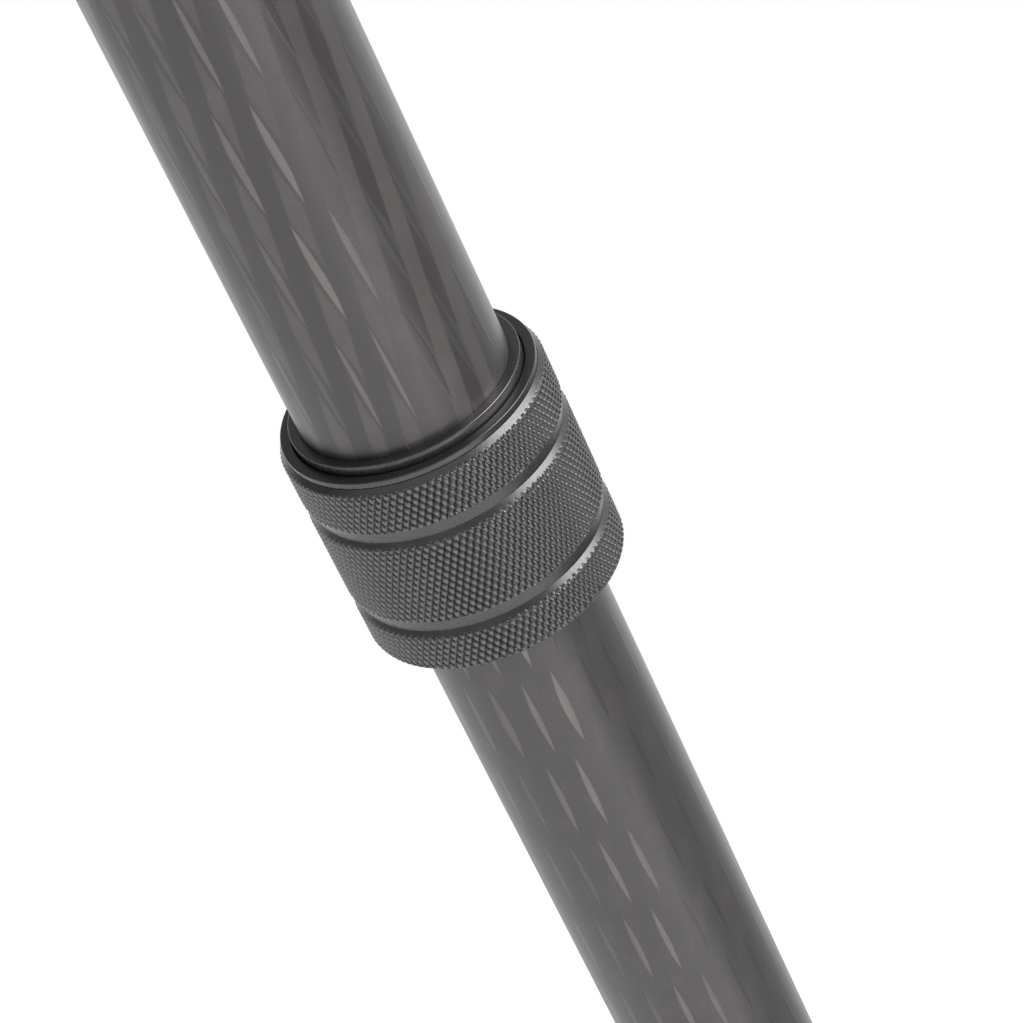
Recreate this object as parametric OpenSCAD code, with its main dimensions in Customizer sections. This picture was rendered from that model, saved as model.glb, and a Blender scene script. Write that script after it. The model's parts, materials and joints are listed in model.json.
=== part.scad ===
// Camera tripod, standing, with all leg sections drawn out.
// The origin is the centre of the head plate's top face, +Z is up, and one leg points along -Y.
// Each leg is drawn in its own frame: the origin is its hinge pin, +X points outward across
// the leg, and the leg runs down -Z. A "depth" is the distance below the hinge pin, and inside a
// twist lock it is the distance below the lock's top face.

/* [Head] */
// Radius of the round head plate
plate_r = 38; // [36:1:42]
// Thickness of the head plate
plate_t = 8; // [7:0.5:12]
// Bevel round the head plate's edges
plate_bevel = 0.8; // [0.4:0.2:1.6]
// Radius of the camera head stud, 3/8 inch thread
stud_r = 4.76; // [3.1:0.01:4.9]
// Height of the stud above the head plate
stud_h = 11; // [6:0.5:14]
// Radius of the stud's smooth shank in the head plate
stud_shank_r = 5.6; // [5:0.1:6.5]
// Radius of the flange under the head plate that holds the stud
stud_flange_r = 9; // [7:0.5:11]
// Thickness of the stud's flange
stud_flange_t = 3; // [2:0.5:5]
// Radius of the head plate's screws
screw_r = 2.5; // [2:0.25:3]
// Distance of the screws from the centre
screw_circle_r = 24; // [22:0.5:26]
// Radius of the screw heads
screw_head_r = 4.25; // [3.75:0.25:4.75]
// Height of the screw heads
screw_head_h = 5; // [3:0.5:6]

/* [Spider] */
// Radius of the spider's hub
hub_r = 34; // [33:0.5:34.5]
// Radius of the hollow in the hub
hub_hollow_r = 14; // [12:0.5:16]
// Thickness of the hub's floor
hub_floor_t = 6; // [4:0.5:9]
// Thickness of the hub's roof under the screws
hub_roof_t = 12; // [8:0.5:14]
// Distance of the leg hinges from the centre
pivot_radius = 46; // [46:0.5:52]
// Depth of the leg hinges below the head plate's top face
pivot_depth = 32; // [30:0.5:36]
// Radius of the rounded nose on each arm
arm_nose_r = 12; // [10:0.5:13]
// How far the nose stands proud of the arm all round
nose_rise = 0.6; // [0.4:0.1:1]
// Width of each arm between the leg's ears
arm_w = 26; // [22:1:30]
// Radius of the boss that carries the level
level_boss_r = 10; // [9:0.5:12]
// Width of the neck that joins this boss to the hub
level_neck_w = 15; // [10:1:16]
// Radius of the round spirit level
level_r = 7.4; // [5:0.2:8]
// Height of the spirit level
level_h = 5; // [4:0.5:7]
// Distance of the spirit level from the centre
level_place_r = 46; // [45:0.5:50]
// Depth of the level's top below the head plate's top face
level_depth = 14; // [12:0.5:20]
// Radius of the threaded hole for accessories, 3/8 inch thread
accessory_r = 3.97; // [2.5:0.01:4.2]
// Depth of the threaded hole for accessories
accessory_depth = 10; // [8:0.5:12]
// Radius of the boss round the threaded hole
accessory_boss_r = 9; // [7:0.5:10]
// Distance of the boss's face from the centre
accessory_face = 42; // [40:0.5:44]

/* [Ballast hook] */
// Radius of the hook's wire
hook_wire_r = 2.5; // [2:0.25:3]
// Inner radius of the hook's bend
hook_bend_r = 8; // [7:0.5:10]
// Radius of the hook's shank in the hub's floor
hook_shank_r = 4; // [3:0.25:5]
// Step from the hook's shank out to its head inside the hub
hook_head_step = 2; // [1:0.5:3]
// Length of the shank below the hub's floor
hook_drop = 12; // [9:1:18]
// Angle that the hook's bend covers
hook_sweep = 250; // [220:5:270]

/* [Leg hinge] */
// Lean of each leg from the vertical, at the first angle stop
leg_lean = 24.15; // [18:0.05:26]
// Radius of the hinge pin
pin_r = 4; // [3:0.25:5]
// Radius of the hinge pin's head
pin_head_r = 7; // [6:0.5:8]
// Height of the hinge pin's head
pin_head_h = 3; // [2:0.5:5]
// Thickness of each ear
ear_t = 6.2; // [5:0.2:8]
// Radius of the ears round the hinge pin
ear_r = 13; // [12:0.5:13.5]
// Half width of the ears where they meet the crown
ear_foot = 11; // [9:0.5:12]
// Depth of the crown's shoulder, on which the ears stand
crown_depth = 34; // [32:1:40]
// Height of the crown above the tube's end
crown_h = 12; // [8:1:16]
// Radius of the crown
crown_r = 22.5; // [22:0.1:23]
// Radius of the crown's skirt round the tube
skirt_r = 20.5; // [20:0.1:21.5]
// Length of the crown's skirt
skirt_h = 10; // [6:1:16]
// Length of the crown's plug inside the tube
plug_h = 30; // [20:1:30]
// Wall of the plug
plug_wall = 4; // [2:0.5:8]

/* [Angle stop] */
// Angle of the stop from the leg's axis, outward
stop_angle = 45; // [43:1:47]
// Thickness of the stop across its travel
stop_t = 7; // [6:0.5:8]
// Width of the stop between the ears
stop_w = 12; // [9:1:14]
// Thickness of the stop's grip
grip_t = 12; // [9:0.5:13]
// Width of the stop's grip
grip_w = 18; // [14:1:22]
// Height of the stop's grip
grip_h = 6; // [4:0.5:8]
// Height of the toe that the stop bears on, above the arm's nose
toe_h = 5.5; // [4:0.5:6]
// Thickness of the toe
toe_t = 7; // [5:0.5:8]
// Height of the bridge that guides the stop
bridge_h = 5.8; // [4:0.2:8]
// Width of the bridge
bridge_w = 16; // [14:0.5:17]

/* [Tubes] */
// Radius of the upper tube
upper_r = 18.5; // [18.2:0.1:18.7]
// Radius of the middle tube
middle_r = 16.7; // [16.6:0.05:16.8]
// Radius of the lower tube
lower_r = 14.9; // [14.8:0.05:15]
// Wall of all three tubes
tube_wall = 1.2; // [1.05:0.05:1.25]
// Length of the upper tube
upper_len = 520; // [480:5:560]
// Length of the middle tube
middle_len = 530; // [480:5:540]
// Length of the lower tube
lower_len = 500; // [460:5:500]
// Length of each tube that stays inside the one above
overlap = 80; // [70:5:100]

/* [Twist lock] */
// Step from the tube out to the lock's top ring
ring_step = 1.85; // [1.7:0.05:1.95]
// Height of the top ring
ring_h = 3; // [2:0.1:3]
// Bevel on the upper edges of the top ring and of the collar's rim
top_bevel = 0.25; // [0.1:0.05:0.4]
// Step from the tube out to the ferrule's thread
thread_step = 2; // [1.8:0.05:2]
// Length of the ferrule
ferrule_len = 26; // [22:0.5:26]
// Step from the tube out to the inside of the collar's rim
rim_step = 2.2; // [2.2:0.02:2.3]
// Width of the collar's flat rim
rim_w = 1.7; // [1.6:0.02:1.8]
// Height of the wall outside the rim
rim_h = 1.2; // [1:0.05:1.3]
// Depth of the rim's flat top
rim_depth = 1.7; // [1.5:0.05:1.8]
// Height of the cone between that wall and the grip
cone_h = 1.1; // [0.9:0.05:1.3]
// Step from the tube out to the collar's grip
grip_step = 4.87; // [4.7:0.01:5.4]
// Depth of the first groove's upper edge
groove_1 = 11.8; // [10:0.1:14]
// Depth of the second groove's upper edge
groove_2 = 31.4; // [28:0.1:32]
// Height of each groove
groove_h = 3.8; // [3:0.1:5]
// How deep each groove is cut
groove_cut = 0.7; // [0.4:0.05:0.9]
// Height of the groove's steep upper wall
groove_wall = 0.15; // [0.1:0.05:0.3]
// How deep the groove's steep upper wall goes
groove_step = 0.4; // [0.2:0.05:0.5]
// Depth at which the groove is deepest, below its upper edge
groove_flank = 2.45; // [1.5:0.05:2.7]
// Length of the whole lock, to the collar's lower edge
lock_len = 42.2; // [42:0.1:46]
// Rounding of the collar's lower edge
edge_round = 0.4; // [0.2:0.1:0.8]
// Thickness of the collar's lower lip
lip_t = 1.2; // [1:0.1:2]
// Height of the wiper seal
seal_h = 2.2; // [1.6:0.1:2.6]
// Width of the wiper seal
seal_w = 1.7; // [1.4:0.1:2]
// Length of the collet
collet_len = 11; // [9:0.2:11.2]
// Wall of the collet at its thin end
collet_tip = 1.7; // [1.2:0.1:1.8]
// Wall of the collet at its thick end
collet_base = 3.4; // [3:0.1:3.6]
// Slit that lets the collet close
collet_slit = 2; // [1:0.5:4]
// Length of the guide shims at a tube's top end
shim_len = 40; // [30:1:50]
// Gap between the two guide shims of a pair
shim_gap = 6; // [4:1:12]
// Room between the shims and the tube round them
shim_room = 0.2; // [0.1:0.05:0.3]

/* [Foot] */
// Radius of the foot stem's flange
stem_flange_r = 16.5; // [16:0.1:17.5]
// Thickness of the flange
stem_flange_t = 5; // [3:0.5:8]
// Length of the stem's plug inside the lower tube
stem_plug_h = 35; // [25:1:45]
// Radius of the stem's thread in the rubber foot
stem_r = 5; // [4:0.5:6]
// Length of that thread
stem_len = 20; // [14:1:22]
// Radius of the rubber foot at its top
foot_top_r = 15.5; // [14.5:0.5:17]
// Bevel round the foot's top edge
foot_bevel = 1; // [0.5:0.25:2]
// Largest radius of the rubber foot
foot_r = 19; // [18:0.5:20]
// Height of the rubber foot
foot_h = 39; // [38:1:45]
// Radius of the foot's round sole
sole_r = 30; // [28:1:34]

/* [Hidden] */
LEGS = [1, 2, 3];
LEG_PIECES = [
    "leg_yoke", "hinge_pin", "angle_stop", "upper_tube",
    "upper_ferrule", "upper_collar", "upper_collet", "upper_seal",
    "middle_shims", "middle_tube",
    "lower_ferrule", "lower_collar", "lower_collet", "lower_seal",
    "lower_shims", "lower_tube", "foot_stem", "rubber_foot"
];

$fn = 96;
first_azimuth = 30;
between = 60;
fit = 0.05;
slide_gap = 0.3;
over = 1;

// Ears, bridge and stop, from the arm that they clasp
ear_inner = arm_w / 2 + slide_gap;
ear_outer = ear_inner + ear_t;
toe_r = arm_nose_r + toe_h;
bridge_low = toe_r + 0.7;
bridge_top = bridge_low + bridge_h;
stop_low = arm_nose_r + 0.6;
stop_top = bridge_top + over + grip_h;

// Depths along a leg
plug_r = upper_r - tube_wall - fit;
tube_top = crown_depth + crown_h;
upper_end = tube_top + upper_len;
upper_lock = upper_end - ferrule_len;
middle_top = upper_end - overlap;
middle_end = middle_top + middle_len;
lower_lock = middle_end - ferrule_len;
lower_top = middle_end - overlap;
lower_end = lower_top + lower_len;
foot_top = lower_end + stem_flange_t;
foot_bottom = foot_top + foot_h;

// Heights in the head
plate_bottom = -plate_t;
hub_bottom = -pivot_depth - arm_nose_r;
hub_floor = hub_bottom + hub_floor_t;
screw_seat = plate_bottom - hub_roof_t;
screw_end = plate_bottom + plate_t / 2;
hook_centre = hub_bottom - hook_drop - hook_bend_r - hook_wire_r;

function azimuth(leg) = first_azimuth + 120 * (leg - 1);

// Places a piece that was drawn in a leg's own frame
module on_leg(leg) {
    rotate([0, 0, azimuth(leg)])
        translate([pivot_radius, 0, -pivot_depth])
            rotate([0, -leg_lean, 0])
                children();
}

// A turned piece from [radius, depth] points, hung from a depth
module turned(from, points) {
    translate([0, 0, -from])
        rotate_extrude()
            polygon([for (p = points) [p[0], -p[1]]]);
}

// A plain tube that hangs from a depth
module pipe(from, length, outer, inner) {
    translate([0, 0, -from - length])
        difference() {
            cylinder(r = outer, h = length);
            translate([0, 0, -over])
                cylinder(r = inner, h = length + 2 * over);
        }
}

// A cylinder across the leg, from one side to the other
module across(radius, from, to) {
    translate([0, from, 0])
        rotate([-90, 0, 0])
            cylinder(r = radius, h = to - from);
}

// A block on the stop's line: its distances from the hinge pin, thickness and width
module stop_block(low, high, thickness, width) {
    rotate([0, stop_angle, 0])
        translate([-thickness / 2, -width / 2, low])
            cube([thickness, width, high - low]);
}

module at_screws() {
    for (leg = LEGS)
        rotate([0, 0, azimuth(leg) + between])
            translate([screw_circle_r, 0, 0])
                children();
}

// The arm and its toe, in a leg's place but without its lean
module arm(leg) {
    rotate([0, 0, azimuth(leg)])
        translate([0, -arm_w / 2 + nose_rise, hub_bottom + nose_rise])
            cube([pivot_radius, arm_w - 2 * nose_rise, 2 * (arm_nose_r - nose_rise)]);
    on_leg(leg) {
        across(arm_nose_r, -arm_w / 2, arm_w / 2);
        rotate([0, stop_angle, 0])
            translate([-stop_t / 2 - slide_gap - toe_t, -arm_w / 2, pin_r + over])
                cube([toe_t, arm_w, toe_r - pin_r - over]);
    }
}

module spider() {
    color("#3c3d40")
        difference() {
            union() {
                translate([0, 0, hub_bottom])
                    cylinder(r = hub_r, h = plate_bottom - hub_bottom);
                for (leg = LEGS)
                    arm(leg);
                rotate([0, 0, first_azimuth + between]) {
                    translate([level_place_r, 0, hub_bottom])
                        cylinder(r = level_boss_r, h = -level_depth - hub_bottom);
                    translate([0, -level_neck_w / 2, hub_bottom + nose_rise])
                        cube([level_place_r, level_neck_w, -level_depth - hub_bottom - 2 * nose_rise]);
                }
                rotate([0, 0, first_azimuth - between])
                    translate([0, 0, -pivot_depth])
                        rotate([0, 90, 0])
                            cylinder(r = accessory_boss_r, h = accessory_face);
            }
            translate([0, 0, hub_floor])
                cylinder(r = hub_hollow_r, h = -hub_floor + over);
            translate([0, 0, hub_bottom - over])
                cylinder(r = hook_shank_r + fit, h = hub_floor_t + 2 * over);
            at_screws() {
                translate([0, 0, hub_bottom - over])
                    cylinder(r = screw_head_r + slide_gap, h = screw_seat - hub_bottom + over);
                translate([0, 0, screw_seat - over])
                    cylinder(r = screw_r + fit, h = hub_roof_t + 2 * over);
            }
            rotate([0, 0, first_azimuth + between])
                translate([level_place_r, 0, -level_depth - level_h])
                    cylinder(r = level_r + fit, h = level_h + over);
            rotate([0, 0, first_azimuth - between])
                translate([accessory_face - accessory_depth, 0, -pivot_depth])
                    rotate([0, 90, 0])
                        cylinder(r = accessory_r, h = accessory_depth + over);
            for (leg = LEGS)
                on_leg(leg)
                    across(pin_r + fit, -arm_w, arm_w);
        }
}

module head_plate() {
    color("#2b2c2e")
        difference() {
            rotate_extrude()
                polygon([
                    [0, plate_bottom],
                    [plate_r - plate_bevel, plate_bottom],
                    [plate_r, plate_bottom + plate_bevel],
                    [plate_r, -plate_bevel],
                    [plate_r - plate_bevel, 0],
                    [0, 0]
                ]);
            translate([0, 0, plate_bottom - over])
                cylinder(r = stud_shank_r + fit, h = plate_t + 2 * over);
            at_screws()
                translate([0, 0, plate_bottom - over])
                    cylinder(r = screw_r + fit, h = screw_end - plate_bottom + over);
        }
}

module head_stud() {
    color("#b9bcc0") {
        translate([0, 0, plate_bottom])
            cylinder(r = stud_r, h = plate_t + stud_h);
        translate([0, 0, plate_bottom])
            cylinder(r = stud_shank_r, h = plate_t);
        translate([0, 0, plate_bottom - stud_flange_t])
            cylinder(r = stud_flange_r, h = stud_flange_t);
    }
}

module plate_screws() {
    color("#8f9296")
        at_screws() {
            translate([0, 0, screw_seat - screw_head_h])
                cylinder(r = screw_head_r, h = screw_head_h);
            translate([0, 0, screw_seat])
                cylinder(r = screw_r, h = screw_end - screw_seat);
        }
}

module spirit_level() {
    color("#c8d65a")
        rotate([0, 0, first_azimuth + between])
            translate([level_place_r, 0, -level_depth - level_h])
                cylinder(r = level_r, h = level_h);
}

module ballast_hook() {
    bend = hook_bend_r + hook_wire_r;
    color("#9a9da1") {
        translate([0, 0, hub_floor])
            cylinder(r = hook_shank_r + hook_head_step, h = hub_floor_t / 2);
        translate([0, 0, hub_bottom - hook_drop / 2])
            cylinder(r = hook_shank_r, h = hook_drop / 2 + hub_floor_t);
        translate([0, 0, hook_centre + bend])
            cylinder(r = hook_wire_r, h = hook_drop / 2);
        translate([0, 0, hook_centre])
            rotate([90, 0, 0])
                rotate([0, 0, 90])
                    rotate_extrude(angle = hook_sweep)
                        translate([bend, 0])
                            circle(r = hook_wire_r);
    }
}

module leg_yoke() {
    color("#3c3d40")
        difference() {
            union() {
                for (side = [-1, 1])
                    translate([0, side * (ear_inner + ear_t / 2), 0])
                        ear();
                stop_block(bridge_low, bridge_top, bridge_w, 2 * ear_outer);
                translate([0, 0, -tube_top])
                    cylinder(r = crown_r, h = crown_h);
                pipe(tube_top, skirt_h, skirt_r, upper_r + fit);
                pipe(tube_top - over, plug_h + over, plug_r, plug_r - plug_wall);
            }
            across(pin_r + fit, -ear_outer - over, ear_outer + over);
            stop_block(bridge_low - over, bridge_top + over, stop_t + 2 * slide_gap, stop_w + 2 * slide_gap);
        }
}

// One ear of the yoke: round at the pin, down to the crown and out to the bridge
module ear() {
    rotate([90, 0, 0])
        translate([0, 0, -ear_t / 2])
            linear_extrude(height = ear_t) {
                circle(r = ear_r);
                polygon([
                    [-ear_r, 0],
                    [ear_r, 0],
                    [ear_foot, -crown_depth - over],
                    [-ear_foot, -crown_depth - over]
                ]);
                rotate(-stop_angle)
                    translate([-bridge_w / 2, 0])
                        square([bridge_w, bridge_top]);
            }
}

module hinge_pin() {
    half = ear_outer + fit;
    color("#8f9296") {
        across(pin_r, -half - pin_head_h, half + pin_head_h);
        across(pin_head_r, half, half + pin_head_h);
        across(pin_head_r, -half - pin_head_h, -half);
    }
}

module angle_stop() {
    color("#8f9296") {
        stop_block(stop_low, stop_top, stop_t, stop_w);
        stop_block(bridge_top + over, stop_top, grip_t, grip_w);
    }
}

module upper_tube() {
    color("#5d5e60")
        pipe(tube_top, upper_len, upper_r, upper_r - tube_wall);
}

module middle_tube() {
    color("#5d5e60")
        pipe(middle_top, middle_len, middle_r, middle_r - tube_wall);
}

module lower_tube() {
    color("#5d5e60")
        pipe(lower_top, lower_len, lower_r, lower_r - tube_wall);
}

// The threaded ferrule that is bonded on a tube's lower end
module ferrule(lock, tube_r) {
    color("#454648")
        turned(lock, [
            [tube_r + fit, 0],
            [tube_r + ring_step - top_bevel, 0],
            [tube_r + ring_step, top_bevel],
            [tube_r + ring_step, ring_h],
            [tube_r + thread_step, ring_h],
            [tube_r + thread_step, ferrule_len],
            [tube_r + fit, ferrule_len]
        ]);
}

// The twist collar: its grip bands outside, thread, cone and seal seat inside
module collar(lock, tube_r, inner_r) {
    grip_r = tube_r + grip_step;
    rim_in = tube_r + rim_step;
    rim_out = rim_in + rim_w;
    thread_r = tube_r + thread_step + slide_gap;
    rim_end = rim_depth + rim_h;
    cone_top = ferrule_len + slide_gap;
    cone_end = ferrule_len + collet_len + slide_gap;
    cone_r = inner_r + collet_tip + 2 * slide_gap;
    seal_end = lock_len - lip_t;
    color("#4a4b4d")
        turned(lock, [
            [rim_in, rim_depth],
            [rim_out - top_bevel, rim_depth],
            [rim_out, rim_depth + top_bevel],
            [rim_out, rim_end],
            [grip_r, rim_end + cone_h],
            [grip_r, groove_1],
            [grip_r - groove_step, groove_1 + groove_wall],
            [grip_r - groove_cut, groove_1 + groove_flank],
            [grip_r, groove_1 + groove_h],
            [grip_r, groove_2],
            [grip_r - groove_step, groove_2 + groove_wall],
            [grip_r - groove_cut, groove_2 + groove_flank],
            [grip_r, groove_2 + groove_h],
            [grip_r, lock_len - edge_round],
            [grip_r - edge_round, lock_len],
            [inner_r + 2 * slide_gap, lock_len],
            [inner_r + 2 * slide_gap, seal_end],
            [inner_r + slide_gap + seal_w + fit, seal_end],
            [inner_r + slide_gap + seal_w + fit, seal_end - seal_h - fit],
            [cone_r, cone_end],
            [thread_r, cone_top],
            [thread_r, ring_h + 2 * slide_gap],
            [rim_in, ring_h + 2 * slide_gap]
        ]);
}

// The slit cone that grips the inner tube when the collar is turned tight
module collet(lock, inner_r) {
    bore = inner_r + slide_gap;
    color("#2f3032")
        difference() {
            turned(lock + ferrule_len, [
                [bore, 0],
                [bore + collet_base, 0],
                [bore + collet_tip, collet_len],
                [bore, collet_len]
            ]);
            translate([0, -collet_slit / 2, -lock - ferrule_len - collet_len - over])
                cube([2 * (bore + collet_base), collet_slit, collet_len + 2 * over]);
        }
}

// The rubber ring that wipes the inner tube
module seal(lock, inner_r) {
    color("#1d1d1e")
        pipe(
            lock + lock_len - lip_t - seal_h, seal_h,
            inner_r + slide_gap + seal_w, inner_r + slide_gap
        );
}

// The two half shells that guide a tube's top end in the tube round it
module shims(top, tube_r, outer_bore) {
    color("#d8d6cf")
        difference() {
            pipe(top, shim_len, outer_bore - shim_room, tube_r + fit);
            translate([-outer_bore, -shim_gap / 2, -top - shim_len - over])
                cube([2 * outer_bore, shim_gap, shim_len + 2 * over]);
        }
}

module foot_stem() {
    plug_r = lower_r - tube_wall - fit;
    color("#8f9296") {
        translate([0, 0, -lower_end])
            cylinder(r = plug_r, h = stem_plug_h);
        translate([0, 0, -foot_top])
            cylinder(r = stem_flange_r, h = stem_flange_t);
        translate([0, 0, -foot_top - stem_len])
            cylinder(r = stem_r, h = stem_len);
    }
}

module rubber_foot() {
    color("#232324")
        difference() {
            intersection() {
                turned(foot_top, [
                    [0, 0],
                    [foot_top_r - foot_bevel, 0],
                    [foot_top_r, foot_bevel],
                    [foot_top_r, foot_h / 4],
                    [foot_r, foot_h / 2],
                    [foot_r, foot_h],
                    [0, foot_h]
                ]);
                translate([0, 0, -foot_bottom + sole_r])
                    sphere(r = sole_r);
            }
            translate([0, 0, -foot_top - stem_len])
                cylinder(r = stem_r + fit, h = stem_len + over);
        }
}

spider();
head_plate();
head_stud();
plate_screws();
spirit_level();
ballast_hook();

for (leg = LEGS)
    on_leg(leg) {
        leg_yoke();
        hinge_pin();
        angle_stop();
        upper_tube();
        ferrule(upper_lock, upper_r);
        collar(upper_lock, upper_r, middle_r);
        collet(upper_lock, middle_r);
        seal(upper_lock, middle_r);
        shims(middle_top, middle_r, upper_r - tube_wall);
        middle_tube();
        ferrule(lower_lock, middle_r);
        collar(lower_lock, middle_r, lower_r);
        collet(lower_lock, lower_r);
        seal(lower_lock, lower_r);
        shims(lower_top, lower_r, middle_r - tube_wall);
        lower_tube();
        foot_stem();
        rubber_foot();
    }
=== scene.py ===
"""The looks of a camera tripod with wound-fibre legs and knurled twist locks, in metres.

Every leg is dressed in its own frame, which is read from the joints: the origin is the leg's
hinge pin and depths are counted down the leg. Inside a twist lock, depths are counted from the
lock's top face.
"""
import json
import logging
import math
from dataclasses import dataclass
from enum import Enum
from typing import Callable, Optional, Sequence

import bmesh
import bpy
import numpy as np
from mathutils import Matrix, Vector


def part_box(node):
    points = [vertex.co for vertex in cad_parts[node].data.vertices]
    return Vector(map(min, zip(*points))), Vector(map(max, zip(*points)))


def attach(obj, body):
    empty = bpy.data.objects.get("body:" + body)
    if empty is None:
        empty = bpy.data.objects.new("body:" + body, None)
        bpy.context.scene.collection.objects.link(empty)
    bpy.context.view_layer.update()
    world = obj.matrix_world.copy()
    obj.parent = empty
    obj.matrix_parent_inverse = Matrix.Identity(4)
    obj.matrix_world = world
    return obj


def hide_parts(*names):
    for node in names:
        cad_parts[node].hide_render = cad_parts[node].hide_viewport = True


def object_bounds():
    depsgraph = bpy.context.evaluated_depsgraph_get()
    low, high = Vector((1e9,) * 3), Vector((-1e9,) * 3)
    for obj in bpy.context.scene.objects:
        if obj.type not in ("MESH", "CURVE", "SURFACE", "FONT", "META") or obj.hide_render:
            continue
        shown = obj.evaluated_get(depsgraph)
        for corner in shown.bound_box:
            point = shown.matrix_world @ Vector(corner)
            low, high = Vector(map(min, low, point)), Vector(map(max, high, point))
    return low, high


Piece, Material, Socket = bpy.types.Object, bpy.types.Material, bpy.types.NodeSocket
Outline = Sequence[tuple[float, float]]

log = logging.getLogger("tripod")
logging.basicConfig(level=logging.INFO, format="%(name)s: %(message)s")

MM = 0.001
# The mesh attribute that marks crests: 1 on a crest, 0 elsewhere.
CREST = "crest"
LEGS = (1, 2, 3)
# How flat a corner has to be, in degrees, to stay as it is when an outline is rounded.
FLAT_CORNER = 172

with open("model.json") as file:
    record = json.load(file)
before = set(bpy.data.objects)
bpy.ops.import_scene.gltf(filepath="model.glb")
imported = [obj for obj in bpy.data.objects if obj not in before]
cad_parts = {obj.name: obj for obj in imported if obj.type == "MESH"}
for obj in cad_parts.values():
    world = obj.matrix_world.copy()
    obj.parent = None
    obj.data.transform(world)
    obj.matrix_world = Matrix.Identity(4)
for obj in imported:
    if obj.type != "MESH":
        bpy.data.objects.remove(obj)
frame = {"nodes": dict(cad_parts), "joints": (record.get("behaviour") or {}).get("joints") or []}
CAD_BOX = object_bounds()


# Colour and node helpers


def linear(hex_colour: str, alpha: float = 1.0) -> tuple[float, float, float, float]:
    """Turns an sRGB hex colour into the linear colour that a shader socket takes.

    Args:
        hex_colour: Six hex digits after a hash sign, such as "#5a5b5d".
        alpha: The opacity of the colour.

    Returns:
        Red, green, blue and alpha, from 0 to 1.
    """
    digits = hex_colour.lstrip("#")
    channels = [int(digits[k : k + 2], 16) / 255 for k in (0, 2, 4)]
    red, green, blue = (
        c / 12.92 if c <= 0.04045 else ((c + 0.055) / 1.055) ** 2.4 for c in channels
    )
    return red, green, blue, alpha


def add_node(
    material: bpy.types.ID,
    kind: str,
    settings: Optional[dict] = None,
    inputs: Optional[dict] = None,
    links: Optional[dict] = None,
) -> bpy.types.Node:
    """Adds one shader node with its settings, input values and incoming links.

    Args:
        material: The material or world whose tree gets the node.
        kind: The node's type, such as "ShaderNodeTexNoise".
        settings: The node's own properties by name.
        inputs: Values for its input sockets, by name or number.
        links: Output sockets that feed its input sockets, by name or number.

    Returns:
        The new node.
    """
    tree = material.node_tree
    node = tree.nodes.new(kind)
    for name, value in (settings or {}).items():
        setattr(node, name, value)
    for name, value in (inputs or {}).items():
        node.inputs[name].default_value = value
    for name, socket in (links or {}).items():
        tree.links.new(socket, node.inputs[name])
    return node


def new_material(name: str) -> tuple[Material, bpy.types.Node]:
    """Makes an empty material with one main shader on its output.

    Args:
        name: The material's name.

    Returns:
        The material and its Principled shader node.
    """
    material = bpy.data.materials.new(name)
    material.use_nodes = True
    material.node_tree.nodes.clear()
    shader = add_node(material, "ShaderNodeBsdfPrincipled")
    add_node(material, "ShaderNodeOutputMaterial", links={"Surface": shader.outputs[0]})
    return material, shader


def math_node(material: bpy.types.ID, operation: str, *values: object) -> Socket:
    """Adds a Math node whose inputs are numbers or sockets.

    Args:
        material: The material or world whose tree gets the node.
        operation: The Math node's operation.
        values: One number or output socket for each input in turn.

    Returns:
        The node's output socket.
    """
    numbers = {k: v for k, v in enumerate(values) if isinstance(v, (int, float))}
    sockets = {k: v for k, v in enumerate(values) if k not in numbers}
    node = add_node(material, "ShaderNodeMath", {"operation": operation}, numbers, sockets)
    return node.outputs[0]


# Finishes


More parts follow.
